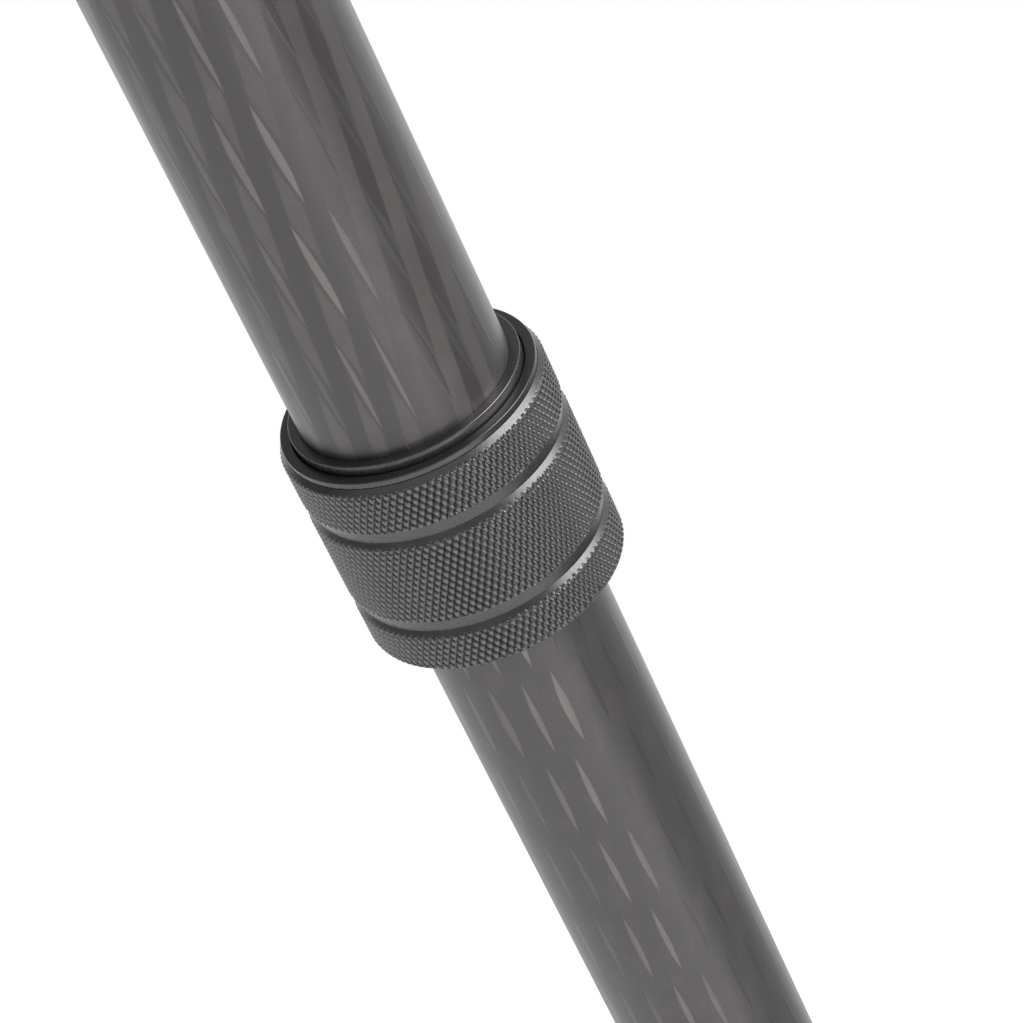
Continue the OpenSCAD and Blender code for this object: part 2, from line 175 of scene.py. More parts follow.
@dataclass(frozen=True)
class WoundCarbon:
    """A tube wound from carbon tape in epoxy, sanded and clear coated.

    The tapes lie nearly along the tube in two crossing families. In the gaps of the upper
    family the lower one shows, and where both have a gap lies a slim spindle. The tapes and
    the spindles carry painted light and shade fixed round the tube, lighter on one side and
    darker on another, which stands in for the fibres' sheen.
    """

    name: str = "carbon_fibre_wound_epoxy"
    dark: str = "#504d4d"
    tape: str = "#615f5f"
    bright: str = "#8a8684"
    columns: int = 19
    pitch: float = 38.1 * MM
    skew: float = -0.05
    first_tape: float = 1.185
    first_row: float = 0.213
    contrast: float = 0.05
    gap: float = 0.24
    spindle_width: float = 0.31
    spindle_height: float = 0.236
    spindle_lean: float = 0.06
    roughness: float = 0.36
    fibre_shine: float = 0.6
    grain: float = 0.16
    # Noise cells in a metre: fibre grain of about 0.45 mm, and clouds in the resin of about 5 mm.
    grain_scale: float = 2200.0
    cloud_scale: float = 190.0
    # How fast the tapes' edges wander round the tube and along it, and how far.
    wander_round: float = 2.2
    wander_along: float = 28.0
    wander: float = 0.25
    edge_soft: float = 0.04
    spindle_soft: float = 0.045
    least_spindle: float = 0.62
    relief: float = 0.03 * MM
    # Painted light and shade of the tapes and the spindles round the tube: turns from the leg's
    # outer front, tone.
    tape_painted_light: tuple[tuple[float, float], ...] = (
        (0.0, 0.4), (0.16, -0.7), (0.3, 0.3), (0.36, 0.4), (0.5, 0.36), (0.55, 0.15),
        (0.575, -0.25), (0.61, -0.75), (0.66, -0.65), (0.7, 0.0), (0.85, 0.5), (1.0, 0.4),
    )
    spindle_painted_light: tuple[tuple[float, float], ...] = (
        (0.0, 0.6), (0.16, -0.6), (0.3, 0.3), (0.37, 0.62), (0.44, 0.42), (0.485, 0.9),
        (0.54, 1.0), (0.565, 0.3), (0.59, -0.5), (0.64, -0.6), (0.7, 0.0), (0.85, 0.9), (1.0, 0.6),
    )

    def material(self) -> Material:
        """Returns the material, which reads turns and metres along the tube from its UV map."""
        mat, shader = new_material(self.name)
        uv = add_node(mat, "ShaderNodeUVMap", {"uv_map": "winding"})
        split = add_node(mat, "ShaderNodeSeparateXYZ", links={0: uv.outputs[0]})
        turns, along = split.outputs[0], split.outputs[1]
        v = math_node(mat, "ADD", math_node(mat, "DIVIDE", along, self.pitch), self.first_row)
        slide = math_node(mat, "ADD", math_node(mat, "MULTIPLY", v, self.skew), self.first_tape)
        slide = math_node(mat, "ADD", slide, self.wobble(mat, turns, along))
        u = math_node(mat, "ADD", math_node(mat, "MULTIPLY", turns, self.columns), slide)
        front = math_node(mat, "FRACT", math_node(mat, "ADD", turns, 0.5 + 1 / 3))
        # The tapes' tone is scaled by painted light and shade that changes round the tube.
        weave = math_node(
            mat, "MULTIPLY", self.weave(mat, u, v), self.curve(mat, front, self.tape_painted_light)
        )
        spindle = self.spindles(mat, u, v)
        # The spindles are painted lighter and darker round the tube: painted highlights and painted
        # shade.
        painted_light = math_node(mat, "MULTIPLY", spindle, self.curve(mat, front, self.spindle_painted_light))
        place = add_node(mat, "ShaderNodeTexCoord").outputs["Object"]
        grain = add_node(
            mat,
            "ShaderNodeTexNoise",
            inputs={"Scale": self.grain_scale, "Detail": 2.0},
            links={"Vector": place},
        )
        cloud = add_node(
            mat,
            "ShaderNodeTexNoise",
            inputs={"Scale": self.cloud_scale, "Detail": 2.0},
            links={"Vector": place},
        )
        tone: object = 0.5 - self.grain
        for part, share in (
            (weave, self.contrast),
            (painted_light, 0.5),
            (grain.outputs[0], self.grain),
            (cloud.outputs[0], self.grain),
        ):
            tone = math_node(mat, "ADD", tone, math_node(mat, "MULTIPLY", part, share))
        colour = add_node(mat, "ShaderNodeValToRGB", links={0: tone})
        stops = colour.color_ramp.elements
        stops[0].color, stops[1].color = linear(self.dark), linear(self.bright)
        stops.new(0.5).color = linear(self.tape)
        mat.node_tree.links.new(colour.outputs[0], shader.inputs["Base Color"])
        shader.inputs["Metallic"].default_value = self.fibre_shine
        shader.inputs["Roughness"].default_value = self.roughness
        bump = add_node(
            mat,
            "ShaderNodeBump",
            inputs={"Strength": 1.0, "Distance": self.relief},
            links={"Height": spindle},
        )
        mat.node_tree.links.new(bump.outputs[0], shader.inputs["Normal"])
        return mat

    def wobble(self, mat: Material, turns: Socket, along: Socket) -> Socket:
        """Returns a small shift of the tapes round the tube, so that no edge is ruler straight.

        Args:
            mat: The material that gets the nodes.
            turns: The place round the tube, in turns.
            along: The place along the tube, in metres.
        """
        angle = math_node(mat, "MULTIPLY", turns, math.tau)
        place = add_node(
            mat,
            "ShaderNodeCombineXYZ",
            links={
                0: math_node(mat, "MULTIPLY", math_node(mat, "COSINE", angle), self.wander_round),
                1: math_node(mat, "MULTIPLY", math_node(mat, "SINE", angle), self.wander_round),
                2: math_node(mat, "MULTIPLY", along, self.wander_along),
            },
        )
        noise = add_node(
            mat,
            "ShaderNodeTexNoise",
            inputs={"Scale": 1.0, "Detail": 1.0},
            links={"Vector": place.outputs[0]},
        )
        return math_node(
            mat, "MULTIPLY", math_node(mat, "SUBTRACT", noise.outputs[0], 0.5), self.wander
        )

    def curve(self, mat: Material, front: Socket, stops: Outline) -> Socket:
        """Returns a tone of painted light and shade from -1 to 1 that changes round the tube.

        Args:
            mat: The material that gets the nodes.
            front: The place round the tube, 0.5 at its front.
            stops: Places and their tones.
        """
        ramp = add_node(mat, "ShaderNodeValToRGB", links={0: front})
        points = ramp.color_ramp.elements
        for point, (place, tone) in zip(points, (stops[0], stops[-1])):
            point.position, point.color = place, ((tone + 1) / 2,) * 3 + (1.0,)
        for place, tone in stops[1:-1]:
            points.new(place).color = ((tone + 1) / 2,) * 3 + (1.0,)
        double = math_node(mat, "MULTIPLY", ramp.outputs[0], 2.0)
        return math_node(mat, "SUBTRACT", double, 1.0)

    def weave(self, mat: Material, u: Socket, v: Socket) -> Socket:
        """Returns the tone of the tapes: the upper family, and the lower one in its gaps.

        Args:
            mat: The material that gets the nodes.
            u: The place round the tube, in tapes.
            v: The place along the tube, in crossings.
        """
        upper, lower = (math_node(mat, way, u, v) for way in ("ADD", "SUBTRACT"))
        on_upper, on_lower = (self.on_tape(mat, place) for place in (upper, lower))
        beneath = math_node(mat, "SUBTRACT", math_node(mat, "MULTIPLY", on_lower, 0.9), 0.1)
        own = math_node(
            mat, "SUBTRACT", math_node(mat, "MULTIPLY", self.own_tone(mat, upper), 0.5), 0.85
        )
        return add_node(
            mat, "ShaderNodeMix", {"data_type": "FLOAT"}, links={0: on_upper, 2: beneath, 3: own}
        ).outputs[0]

    def on_tape(self, mat: Material, place: Socket) -> Socket:
        """Returns 1 on a tape and 0 in the gap beside it.

        Args:
            mat: The material that gets the nodes.
            place: The place across one family of tapes.
        """
        off = math_node(mat, "ABSOLUTE", self.centred(mat, place))
        return add_node(
            mat,
            "ShaderNodeMapRange",
            inputs={1: self.gap - self.edge_soft, 2: self.gap + self.edge_soft},
            links={0: off},
        ).outputs[0]

    def own_tone(self, mat: Material, place: Socket) -> Socket:
        """Returns a tone of its own for each tape, from 0 to 1.

        Args:
            mat: The material that gets the nodes.
            place: The place across one family of tapes.
        """
        number = math_node(mat, "FLOORED_MODULO", math_node(mat, "FLOOR", place), self.columns)
        return add_node(
            mat, "ShaderNodeTexWhiteNoise", {"noise_dimensions": "1D"}, links={"W": number}
        ).outputs[0]

    def spindles(self, mat: Material, u: Socket, v: Socket) -> Socket:
        """Returns how much of a spindle shows at a point, from 0 to 1.

        Args:
            mat: The material that gets the nodes.
            u: The place round the tube, in tapes.
            v: The place along the tube, in crossings.
        """
        total = None
        for shift in (0.0, 0.5):
            across = math_node(mat, "ADD", u, shift)
            down = math_node(mat, "ADD", v, shift)
            dv = self.centred(mat, down)
            lean = math_node(mat, "MULTIPLY", dv, self.spindle_lean)
            du = math_node(mat, "SUBTRACT", self.centred(mat, across), lean)
            rise = math_node(mat, "DIVIDE", dv, self.spindle_height)
            room = math_node(mat, "SUBTRACT", 1.0, math_node(mat, "MULTIPLY", rise, rise))
            own = self.own_size(mat, across, down)
            edge = math_node(
                mat, "MULTIPLY", math_node(mat, "MULTIPLY", room, self.spindle_width / 2), own
            )
            inside = math_node(mat, "SUBTRACT", edge, math_node(mat, "ABSOLUTE", du))
            soft = add_node(
                mat, "ShaderNodeMapRange", inputs={1: 0.0, 2: self.spindle_soft}, links={0: inside}
            ).outputs[0]
            one = math_node(mat, "MULTIPLY", soft, own)
            total = one if total is None else math_node(mat, "MAXIMUM", total, one)
        return total

    def centred(self, mat: Material, value: Socket) -> Socket:
        """Returns the distance from the nearest whole number, with its sign.

        Args:
            mat: The material that gets the nodes.
            value: The number.
        """
        return math_node(mat, "SUBTRACT", value, math_node(mat, "ROUND", value))

    def own_size(self, mat: Material, across: Socket, down: Socket) -> Socket:
        """Returns a size for each spindle, so that no two are quite alike.

        Args:
            mat: The material that gets the nodes.
            across: The place round the tube, whole at each spindle.
            down: The place along the tube, whole at each spindle.
        """
        cell = add_node(
            mat,
            "ShaderNodeCombineXYZ",
            links={
                0: math_node(mat, "FLOORED_MODULO", math_node(mat, "ROUND", across), self.columns),
                1: math_node(mat, "ROUND", down),
            },
        )
        white = add_node(
            mat, "ShaderNodeTexWhiteNoise", {"noise_dimensions": "3D"}, links={0: cell.outputs[0]}
        )
        return add_node(
            mat,
            "ShaderNodeMapRange",
            inputs={3: self.least_spindle, 4: 1.0},
            links={0: white.outputs[0]},
        ).outputs[0]


@dataclass(frozen=True)
class AnodisedAluminium:
    """Machined aluminium, bead blasted and anodised: satin, with a soft metal sheen.

    Its colour is a little cloudy, and lighter on crests and edges: partly wear, partly a painted
    highlight, which leaves the valleys darker as painted shade.
    """

    name: str
    colour: str
    roughness: float = 0.42
    # The lighter colour on crests and edges, and its share: partly wear, partly a painted
    # highlight.
    worn_and_highlight: str = "#8c8a8b"
    wear_and_highlight: float = 0.62
    cloud: float = 5 * MM
    clouding: float = 0.16
    grit: float = 0.12 * MM
    bump: float = 0.05
    metallic: float = 0.85

    def material(self) -> Material:
        """Returns the material, whose grit is far finer than the eye sees one by one."""
        mat, shader = new_material(self.name)
        place = add_node(mat, "ShaderNodeTexCoord")
        grain = add_node(
            mat,
            "ShaderNodeTexNoise",
            inputs={"Scale": 0.25 / self.grit, "Detail": 2.0},
            links={"Vector": place.outputs["Object"]},
        )
        rough = add_node(
            mat,
            "ShaderNodeMapRange",
            inputs={1: 0.35, 2: 0.65, 3: self.roughness - 0.04, 4: self.roughness + 0.04},
            links={0: grain.outputs[0]},
        )
        bump = add_node(
            mat,
            "ShaderNodeBump",
            inputs={"Strength": self.bump, "Distance": self.grit},
            links={"Height": grain.outputs[0]},
        )
        clouds = add_node(
            mat,
            "ShaderNodeTexNoise",
            inputs={"Scale": 1 / self.cloud, "Detail": 3.0},
            links={"Vector": place.outputs["Object"]},
        )
        crest = add_node(mat, "ShaderNodeAttribute", {"attribute_name": CREST})
        cloudy = math_node(mat, "MULTIPLY", clouds.outputs[0], self.clouding)
        # Crests and edges are painted lighter: partly wear, partly a painted highlight.
        worn_and_highlight = math_node(mat, "MULTIPLY", crest.outputs["Fac"], self.wear_and_highlight)
        tone = add_node(
            mat,
            "ShaderNodeMix",
            {"data_type": "RGBA"},
            {6: linear(self.colour), 7: linear(self.worn_and_highlight)},
            {0: math_node(mat, "ADD", cloudy, worn_and_highlight)},
        )
        mat.node_tree.links.new(tone.outputs[2], shader.inputs["Base Color"])
        mat.node_tree.links.new(rough.outputs[0], shader.inputs["Roughness"])
        mat.node_tree.links.new(bump.outputs[0], shader.inputs["Normal"])
        shader.inputs["Metallic"].default_value = self.metallic
        return mat


@dataclass(frozen=True)
class PowderCoat:
    """Cast aluminium under a fine powder coat: a matt grey skin with a faint orange peel."""

    name: str
    colour: str
    peel: float = 0.7 * MM
    roughness: float = 0.55
    bump: float = 0.35

    def material(self) -> Material:
        """Returns the material."""
        mat, shader = new_material(self.name)
        place = add_node(mat, "ShaderNodeTexCoord")
        peel = add_node(
            mat,
            "ShaderNodeTexNoise",
            inputs={"Scale": 1 / self.peel, "Detail": 3.0},
            links={"Vector": place.outputs["Object"]},
        )
        bump = add_node(
            mat,
            "ShaderNodeBump",
            inputs={"Strength": self.bump, "Distance": self.peel / 4},
            links={"Height": peel.outputs[0]},
        )
        mat.node_tree.links.new(bump.outputs[0], shader.inputs["Normal"])
        shader.inputs["Base Color"].default_value = linear(self.colour)
        shader.inputs["Roughness"].default_value = self.roughness
        return mat


@dataclass(frozen=True)
class TurnedSteel:
    """Turned stainless steel: bright, with fine rings round its own axis."""

    name: str
    colour: str
    ring: float = 0.25 * MM
    roughness: float = 0.28

    def material(self) -> Material:
        """Returns the material."""
        mat, shader = new_material(self.name)
        place = add_node(mat, "ShaderNodeTexCoord")
        rings = add_node(
            mat,
            "ShaderNodeTexNoise",
            inputs={"Scale": 1 / self.ring, "Detail": 2.0},
            links={"Vector": place.outputs["Object"]},
        )
        rough = add_node(
            mat,
            "ShaderNodeMapRange",
            inputs={1: 0.3, 2: 0.7, 3: self.roughness - 0.06, 4: self.roughness + 0.1},
            links={0: rings.outputs[0]},
        )
        mat.node_tree.links.new(rough.outputs[0], shader.inputs["Roughness"])
        shader.inputs["Base Color"].default_value = linear(self.colour)
        shader.inputs["Metallic"].default_value = 1.0
        return mat


@dataclass(frozen=True)
class MouldedRubber:
    """Moulded rubber or acetal: no metal sheen, with a fine matt texture from the mould."""

    name: str
    colour: str
    texture: float = 0.4 * MM
    roughness: float = 0.7

    def material(self) -> Material:
        """Returns the material."""
        mat, shader = new_material(self.name)
        place = add_node(mat, "ShaderNodeTexCoord")
        spark = add_node(
            mat,
            "ShaderNodeTexVoronoi",
            inputs={"Scale": 1 / self.texture},
            links={"Vector": place.outputs["Object"]},
        )
        bump = add_node(
            mat,
            "ShaderNodeBump",
            inputs={"Strength": 0.25, "Distance": self.texture / 4},
            links={"Height": spark.outputs[0]},
        )
        mat.node_tree.links.new(bump.outputs[0], shader.inputs["Normal"])
        shader.inputs["Base Color"].default_value = linear(self.colour)
        shader.inputs["Roughness"].default_value = self.roughness
        return mat


@dataclass(frozen=True)
class LevelVial:
    """An acrylic vial with a spirit fill: glossy yellow green, with a bubble and its ring."""

    name: str = "acrylic_level_vial"
    fill: str = "#c3d34a"
    bubble: str = "#eef4c4"
    ring: str = "#2b2f18"
    bubble_r: float = 1.9 * MM
    ring_r: float = 2.8 * MM
    ring_w: float = 0.35 * MM

    def material(self, centre: Vector) -> Material:
        """Returns the material.

        Args:
            centre: The middle of the vial's window.
        """
        mat, shader = new_material(self.name)
        place = add_node(mat, "ShaderNodeTexCoord")
        away = add_node(
            mat,
            "ShaderNodeVectorMath",
            {"operation": "DISTANCE"},
            {1: tuple(centre)},
            {0: place.outputs["Object"]},
        )
        distance = away.outputs["Value"]
        bubble = math_node(mat, "LESS_THAN", distance, self.bubble_r)
        off = math_node(mat, "ABSOLUTE", math_node(mat, "SUBTRACT", distance, self.ring_r))
        ring = math_node(mat, "LESS_THAN", off, self.ring_w / 2)
        inner = add_node(
            mat,
            "ShaderNodeMix",
            {"data_type": "RGBA"},
            {6: linear(self.fill), 7: linear(self.bubble)},
            {0: bubble},
        )
        outer = add_node(
            mat,
            "ShaderNodeMix",
            {"data_type": "RGBA"},
            {7: linear(self.ring)},
            {0: ring, 6: inner.outputs[2]},
        )
        mat.node_tree.links.new(outer.outputs[2], shader.inputs["Base Color"])
        shader.inputs["Roughness"].default_value = 0.08
        shader.inputs["Coat Weight"].default_value = 0.8
        return mat


class Finish(Enum):
    """The finishes that the tripod's pieces take, by the record's material slots."""

    CARBON_WIDE = ("carbon_tube", "wide")
    CARBON = ("carbon_tube", "narrow")
    GRIP = ("steel_grey_anodised", "")
    RING = ("black_anodised", "ring")
    BLACK = ("black_anodised", "")
    CASTING = ("cast_aluminium", "")
    STEEL = ("steel", "")
    PLASTIC = ("bearing_plastic", "")
    SEAL = ("seal_rubber", "")
    FOOT = ("foot_rubber", "")
    LEVEL = ("level_glass", "")


class Paints:
    """Makes each finish's material once and hands it out."""

    def __init__(self) -> None:
        """Makes all the materials."""
        low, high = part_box("spirit_level")
        window = Vector(((low.x + high.x) / 2, (low.y + high.y) / 2, high.z))
        self.made = {
            # Wide tubes show stronger bands and longer spindles than the narrow ones.
            Finish.CARBON_WIDE: WoundCarbon(
                name="carbon_fibre_wound_wide",
                pitch=43.4 * MM,
                skew=-0.176,
                first_tape=2.217,
                first_row=-0.611,
                contrast=0.44,
                spindle_width=0.26,
                spindle_height=0.242,
                spindle_lean=0.2,
            ).material(),
            Finish.CARBON: WoundCarbon().material(),
            # The satin grey of a blasted and anodised grip. Its crests are painted lighter, partly
            # wear and partly a painted highlight, so the valleys keep the darker grey as painted
            # shade.
            Finish.GRIP: AnodisedAluminium(
                "aluminium_anodised_graphite", "#5c5a5b", 0.3
            ).material(),
            # The ferrule is turned smooth before it is anodised, so it is glossier than the grip.
            Finish.RING: AnodisedAluminium(
                "aluminium_turned_anodised", "#666465", 0.3, bump=0.01
            ).material(),
            Finish.BLACK: AnodisedAluminium("aluminium_anodised_black", "#3a3939", 0.38).material(),
            Finish.CASTING: PowderCoat("aluminium_cast_powder_coated", "#3d3e40").material(),
            Finish.STEEL: TurnedSteel("steel_turned_stainless", "#a9abad").material(),
            Finish.PLASTIC: MouldedRubber(
                "acetal_moulded_grey", "#34363a", roughness=0.5
            ).material(),
            Finish.SEAL: MouldedRubber("nitrile_rubber_moulded", "#1c1c1d").material(),
            Finish.FOOT: MouldedRubber("rubber_moulded_black", "#242425", 0.8 * MM).material(),
            Finish.LEVEL: LevelVial().material(window),
        }

    def dress(self, piece: Piece, finish: Finish, body: str, node: str) -> None:
        """Dresses a new piece, hangs it on the body that it rides on and hides the CAD node that it
        replaces.

        Args:
            piece: The piece.
            finish: Its finish, which names the record's material slot too.
            body: The body that it rides on.
            node: The CAD node that it replaces.
        """
        self.paint(piece, finish)
        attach(piece, body)
        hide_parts(node)

    def paint(self, piece: Piece, finish: Finish) -> None:
        """Gives a piece one finish.

        Args:
            piece: The object to paint.
            finish: The finish that it gets.
        """
        piece.data.materials.clear()
        piece.data.materials.append(self.made[finish])


# Turned pieces


def node_points(node: str) -> np.ndarray:
    """Returns the points of a CAD node, one row each.

    Args:
        node: The node's name.
    """
    mesh = frame["nodes"][node].data
    co = np.empty(len(mesh.vertices) * 3)
    mesh.vertices.foreach_get("co", co)
    return co.reshape(-1, 3)


def ring_points(radius: object, height: object, segments: int) -> np.ndarray:
    """Returns one ring of points round +Z.

    Args:
        radius: The ring's radius, or one for each point.
        height: The ring's height, or one for each point.
        segments: How many points the ring has.
    """
    angle = np.arange(segments) * math.tau / segments
    level = np.full(segments, height)
    return np.stack([radius * np.cos(angle), radius * np.sin(angle), level], axis=1)


def ring_faces(rings: int, segments: int) -> list[tuple[int, ...]]:
    """Returns the faces of a stack of rings, closed at both ends.

    Args:
        rings: How many rings there are.
        segments: How many points each ring has.
    """
    n = segments
    faces = [
        (k * n + j, k * n + (j + 1) % n, (k + 1) * n + (j + 1) % n, (k + 1) * n + j)
        for k in range(rings - 1)
        for j in range(n)
    ]
    return faces + [tuple(range(n)), tuple(range((rings - 1) * n, rings * n))]


@dataclass(frozen=True)
class LegFrame:
    """The place of one leg: its hinge pin, the way down the leg and the way outward."""

    leg: int
    pin: Vector
    down: Vector
    across: Vector

    @staticmethod
    def read(leg: int) -> "LegFrame":
        """Reads a leg's frame from the joints.

        Args:
            leg: The leg's number.

        Returns:
            The leg's frame.
        """
        joints = {j["name"]: j for j in frame["joints"]}
        fold = joints[f"leg_fold_{leg}"]
        down = -Vector(joints[f"middle_slide_{leg}"]["axis"]).normalized()
        side = Vector(fold["axis"]).normalized()
        return LegFrame(leg, Vector(fold["pos_m"]), down, side.cross(-down).normalized())

    def matrix(self, depth: float = 0.0) -> Matrix:
        """Returns the transform that puts a piece turned round -Z at a depth down the leg.

        Args:
            depth: The distance of the piece's origin below the hinge pin.
        """
        up = -self.down
        side = up.cross(self.across)
        turn = Matrix((self.across, side, up)).transposed().to_4x4()
        return Matrix.Translation(self.pin + self.down * depth) @ turn

    def depths(self, node: str) -> tuple[float, float]:
        """Returns the least and greatest depth of a CAD node down the leg.

        Args:
            node: The node's name.
        """
        reach = (node_points(node) - np.array(self.pin)) @ np.array(self.down)
        return float(reach.min()), float(reach.max())

    def radius(self, node: str) -> float:
        """Returns the greatest radius of a CAD node round the leg's axis.

        Args:
            node: The node's name.
        """
        out = node_points(node) - np.array(self.pin)
        out -= np.outer(out @ np.array(self.down), np.array(self.down))
        return float(np.linalg.norm(out, axis=1).max())


def mesh_object(
    name: str,
    points: np.ndarray,
    faces: Sequence[Sequence[int]],
    uvs: Optional[np.ndarray] = None,
    smooth_angle: Optional[float] = None,
) -> Piece:
    """Makes an object from points and faces.

    Args:
        name: The object's name.
        points: One row of three coordinates for each vertex.
        faces: Vertex numbers of each face.
        uvs: One row of two values for each face corner, or nothing.
        smooth_angle: Edges flatter than this many degrees are shaded smooth.

    Returns:
        The new object, linked to the scene.
    """
    mesh = bpy.data.meshes.new(name)
    mesh.from_pydata(points.tolist(), [], [list(f) for f in faces])
    mesh.validate()
    if uvs is not None:
        layer = mesh.uv_layers.new(name="winding")
        layer.data.foreach_set("uv", uvs.astype(np.float32).ravel())
    if smooth_angle is not None:
        mesh.polygons.foreach_set("use_smooth", [True] * len(mesh.polygons))
        mesh.set_sharp_from_angle(angle=math.radians(smooth_angle))
    piece = bpy.data.objects.new(name, mesh)
    bpy.context.scene.collection.objects.link(piece)
    return piece


def rounded(profile: Outline, radius: float, steps: int = 4) -> list[tuple[float, float]]:
    """Rounds the corners of a closed outline of radius and depth.

    Args:
        profile: The outline's corners in order.
        radius: The radius of each rounding, less where an edge is short.
        steps: How many edges make one rounding.

    Returns:
        The outline with its roundings.
    """
    out = []
    count = len(profile)
    for k, corner in enumerate(profile):
        here = Vector(corner)
        back = Vector(profile[k - 1]) - here
        ahead = Vector(profile[(k + 1) % count]) - here
        turn = back.angle(ahead)
        if math.degrees(turn) > FLAT_CORNER:
            out.append(corner)
            continue
        reach = min(radius / math.tan(turn / 2), back.length * 0.45, ahead.length * 0.45)
        start = here + back.normalized() * reach
        end = here + ahead.normalized() * reach
        for step in range(steps + 1):
            t = step / steps
            point = start * (1 - t) ** 2 + here * (2 * t * (1 - t)) + end * t**2
            out.append((point.x, point.y))
    return out


def turned(
    name: str, profile: Outline, segments: int, place: Matrix, smooth_angle: float = 30.0
) -> Piece:
    """Turns a closed outline of radius and depth round the leg's axis.

    Args:
        name: The object's name.
        profile: The outline's points, radius first, depth second.
        segments: How many sides the turned piece has.
        place: The transform into the tripod's frame.
        smooth_angle: Edges flatter than this many degrees are shaded smooth.

    Returns:
        The turned piece.
    """
    outline = np.array(profile)
    angles = np.arange(segments) * math.tau / segments
    rings = np.stack(
        [
            np.outer(outline[:, 0], np.cos(angles)),
            np.outer(outline[:, 0], np.sin(angles)),
            np.repeat(-outline[:, 1:2], segments, axis=1),
        ],
        axis=-1,
    )
    count = len(outline)
    faces = [
        (
            k * segments + j,
            k * segments + (j + 1) % segments,
            ((k + 1) % count) * segments + (j + 1) % segments,
            ((k + 1) % count) * segments + j,
        )
        for k in range(count)
        for j in range(segments)
    ]
    piece = mesh_object(name, rings.reshape(-1, 3), faces, smooth_angle=smooth_angle)
    finish_mesh(piece, place)
    return piece


def finish_mesh(piece: Piece, place: Matrix) -> None:
    """Puts a mesh in place and turns its faces outward.

    Args:
        piece: The object whose mesh is moved.
        place: The transform into the tripod's frame.
    """
    edit = bmesh.new()
    edit.from_mesh(piece.data)
    bmesh.ops.recalc_face_normals(edit, faces=edit.faces)
    edit.to_mesh(piece.data)
    edit.free()
    piece.data.transform(place)
    piece.data.update()


def joined(
    name: str,
    patches: Sequence["Patch"],
    points: Optional[np.ndarray] = None,
    faces: Optional[np.ndarray] = None,
) -> Piece:
    """Joins patches of skin, and a plain stretch of mesh, to one object.

    Args:
        name: The object's name.
        patches: The patches.
        points: The points of the plain stretch, or nothing.
        faces: The vertex numbers of its faces, or nothing.

    Returns:
        The new object.
    """
    every = [patch.points() for patch in patches]
    lists: list[list[int]] = []
    base = 0
    for patch, spots in zip(patches, every):
        lists += (patch.faces() + base).tolist()
        base += len(spots)
    if points is not None and faces is not None:
        every.append(points)
        lists += (faces + base).tolist()
    return mesh_object(name, np.concatenate(every), lists, smooth_angle=36)


def mark_crests(piece: Piece, crest_r: float, wear_and_highlight_depth: float) -> None:
    """Marks how much each point of a grip drawn round +Z lies on a crest, where wear and a painted
    highlight show.

    Args:
        piece: The grip.
        crest_r: The radius of the crests.
        wear_and_highlight_depth: How far below the crests the mark fades out.
    """
    spots = np.array([vertex.co for vertex in piece.data.vertices])
    below = crest_r - np.hypot(spots[:, 0], spots[:, 1])
    marks = piece.data.attributes.new(CREST, "FLOAT", "POINT")
    marks.data.foreach_set("value", np.clip(1 - below / wear_and_highlight_depth, 0, 1).astype(np.float32))


@dataclass(frozen=True)
class CutFamily:
    """One family of the knurl's cuts: how many there are, and how far one climbs in a turn."""

    starts: int
    axial: float
    hand: int

    def phase(self, turns: np.ndarray, depth: np.ndarray) -> np.ndarray:
        """Returns the place across the cuts, which is a whole number in each valley.

        Args:
            turns: Places round the grip, in turns.
            depth: Places down the grip.
        """
        return self.hand * self.starts * turns + depth / self.axial


@dataclass(frozen=True)
class Knurl:
    """The diamond knurl of a grip: two crossing families of cuts that leave blunt pyramids.

    The cuts are not quite alike, so the rows of pyramids climb a little round the grip.
    """

    radius: float
    sample: float = 23.37 * MM
    right_starts: int = 112
    left_starts: int = 104
    right_axial: float = 2.73 * MM
    left_axial: float = 2.08 * MM
    # How far the flank lies below the crest at each sixth of the way across a cut.
    drops: tuple[float, ...] = (0.3 * MM, 0.11 * MM, 0.03 * MM, 0.0)
    # The share of the shallower cut that comes on top, which rounds the pyramids' corners.
    doming: float = 0.4

    @property
    def families(self) -> tuple[CutFamily, CutFamily]:
        """Returns both families, with as many cuts as keep the pyramids' size on this grip."""
        share = self.radius / self.sample
        return (
            CutFamily(round(self.right_starts * share), self.right_axial, 1),
            CutFamily(round(self.left_starts * share), self.left_axial, -1),
        )

    def surface(self, turns: np.ndarray, depth: np.ndarray) -> np.ndarray:
        """Returns the radius of the knurled skin.

        Args:
            turns: Places round the grip, in turns.
            depth: Places down the grip.
        """
        across = np.linspace(0, 0.5, len(self.drops))
        cuts = []
        for family in self.families:
            phase = family.phase(turns, depth)
            cuts.append(np.interp(np.abs(phase - np.round(phase)), across, self.drops))
        return self.radius - np.maximum(*cuts) - self.doming * np.minimum(*cuts)

    def lattice(self, start: float, end: float) -> tuple[np.ndarray, np.ndarray]:
        """Returns the turns and depths of a grid whose lines run with the pyramids' edges.

        Each column leans with the pyramids and stops at both ends of the band. The last column
        lies on the first one.

        Args:
            start: The depth at which the band starts.
            end: The depth at which it ends.
        """
        right, left = self.families
        steps = len(self.drops) - 1
        total, spare = right.starts + left.starts, right.starts - left.starts
        climb = 1 / right.axial + 1 / left.axial
        lean = 1 / right.axial - 1 / left.axial
        scale = total * climb - lean * spare
        across = np.arange(total * steps + 1) / steps
        low = math.floor(min(climb * start, climb * start + spare) * steps) - 2
        high = math.ceil(max(climb * end, climb * end + spare) * steps) + 2
        down = np.arange(low, high + 1) / steps
        grid_down, grid_across = np.meshgrid(down, across, indexing="ij")
        depth = np.clip((total * grid_down - spare * grid_across) / scale, start, end)
        return (grid_across - lean * depth) / total, depth


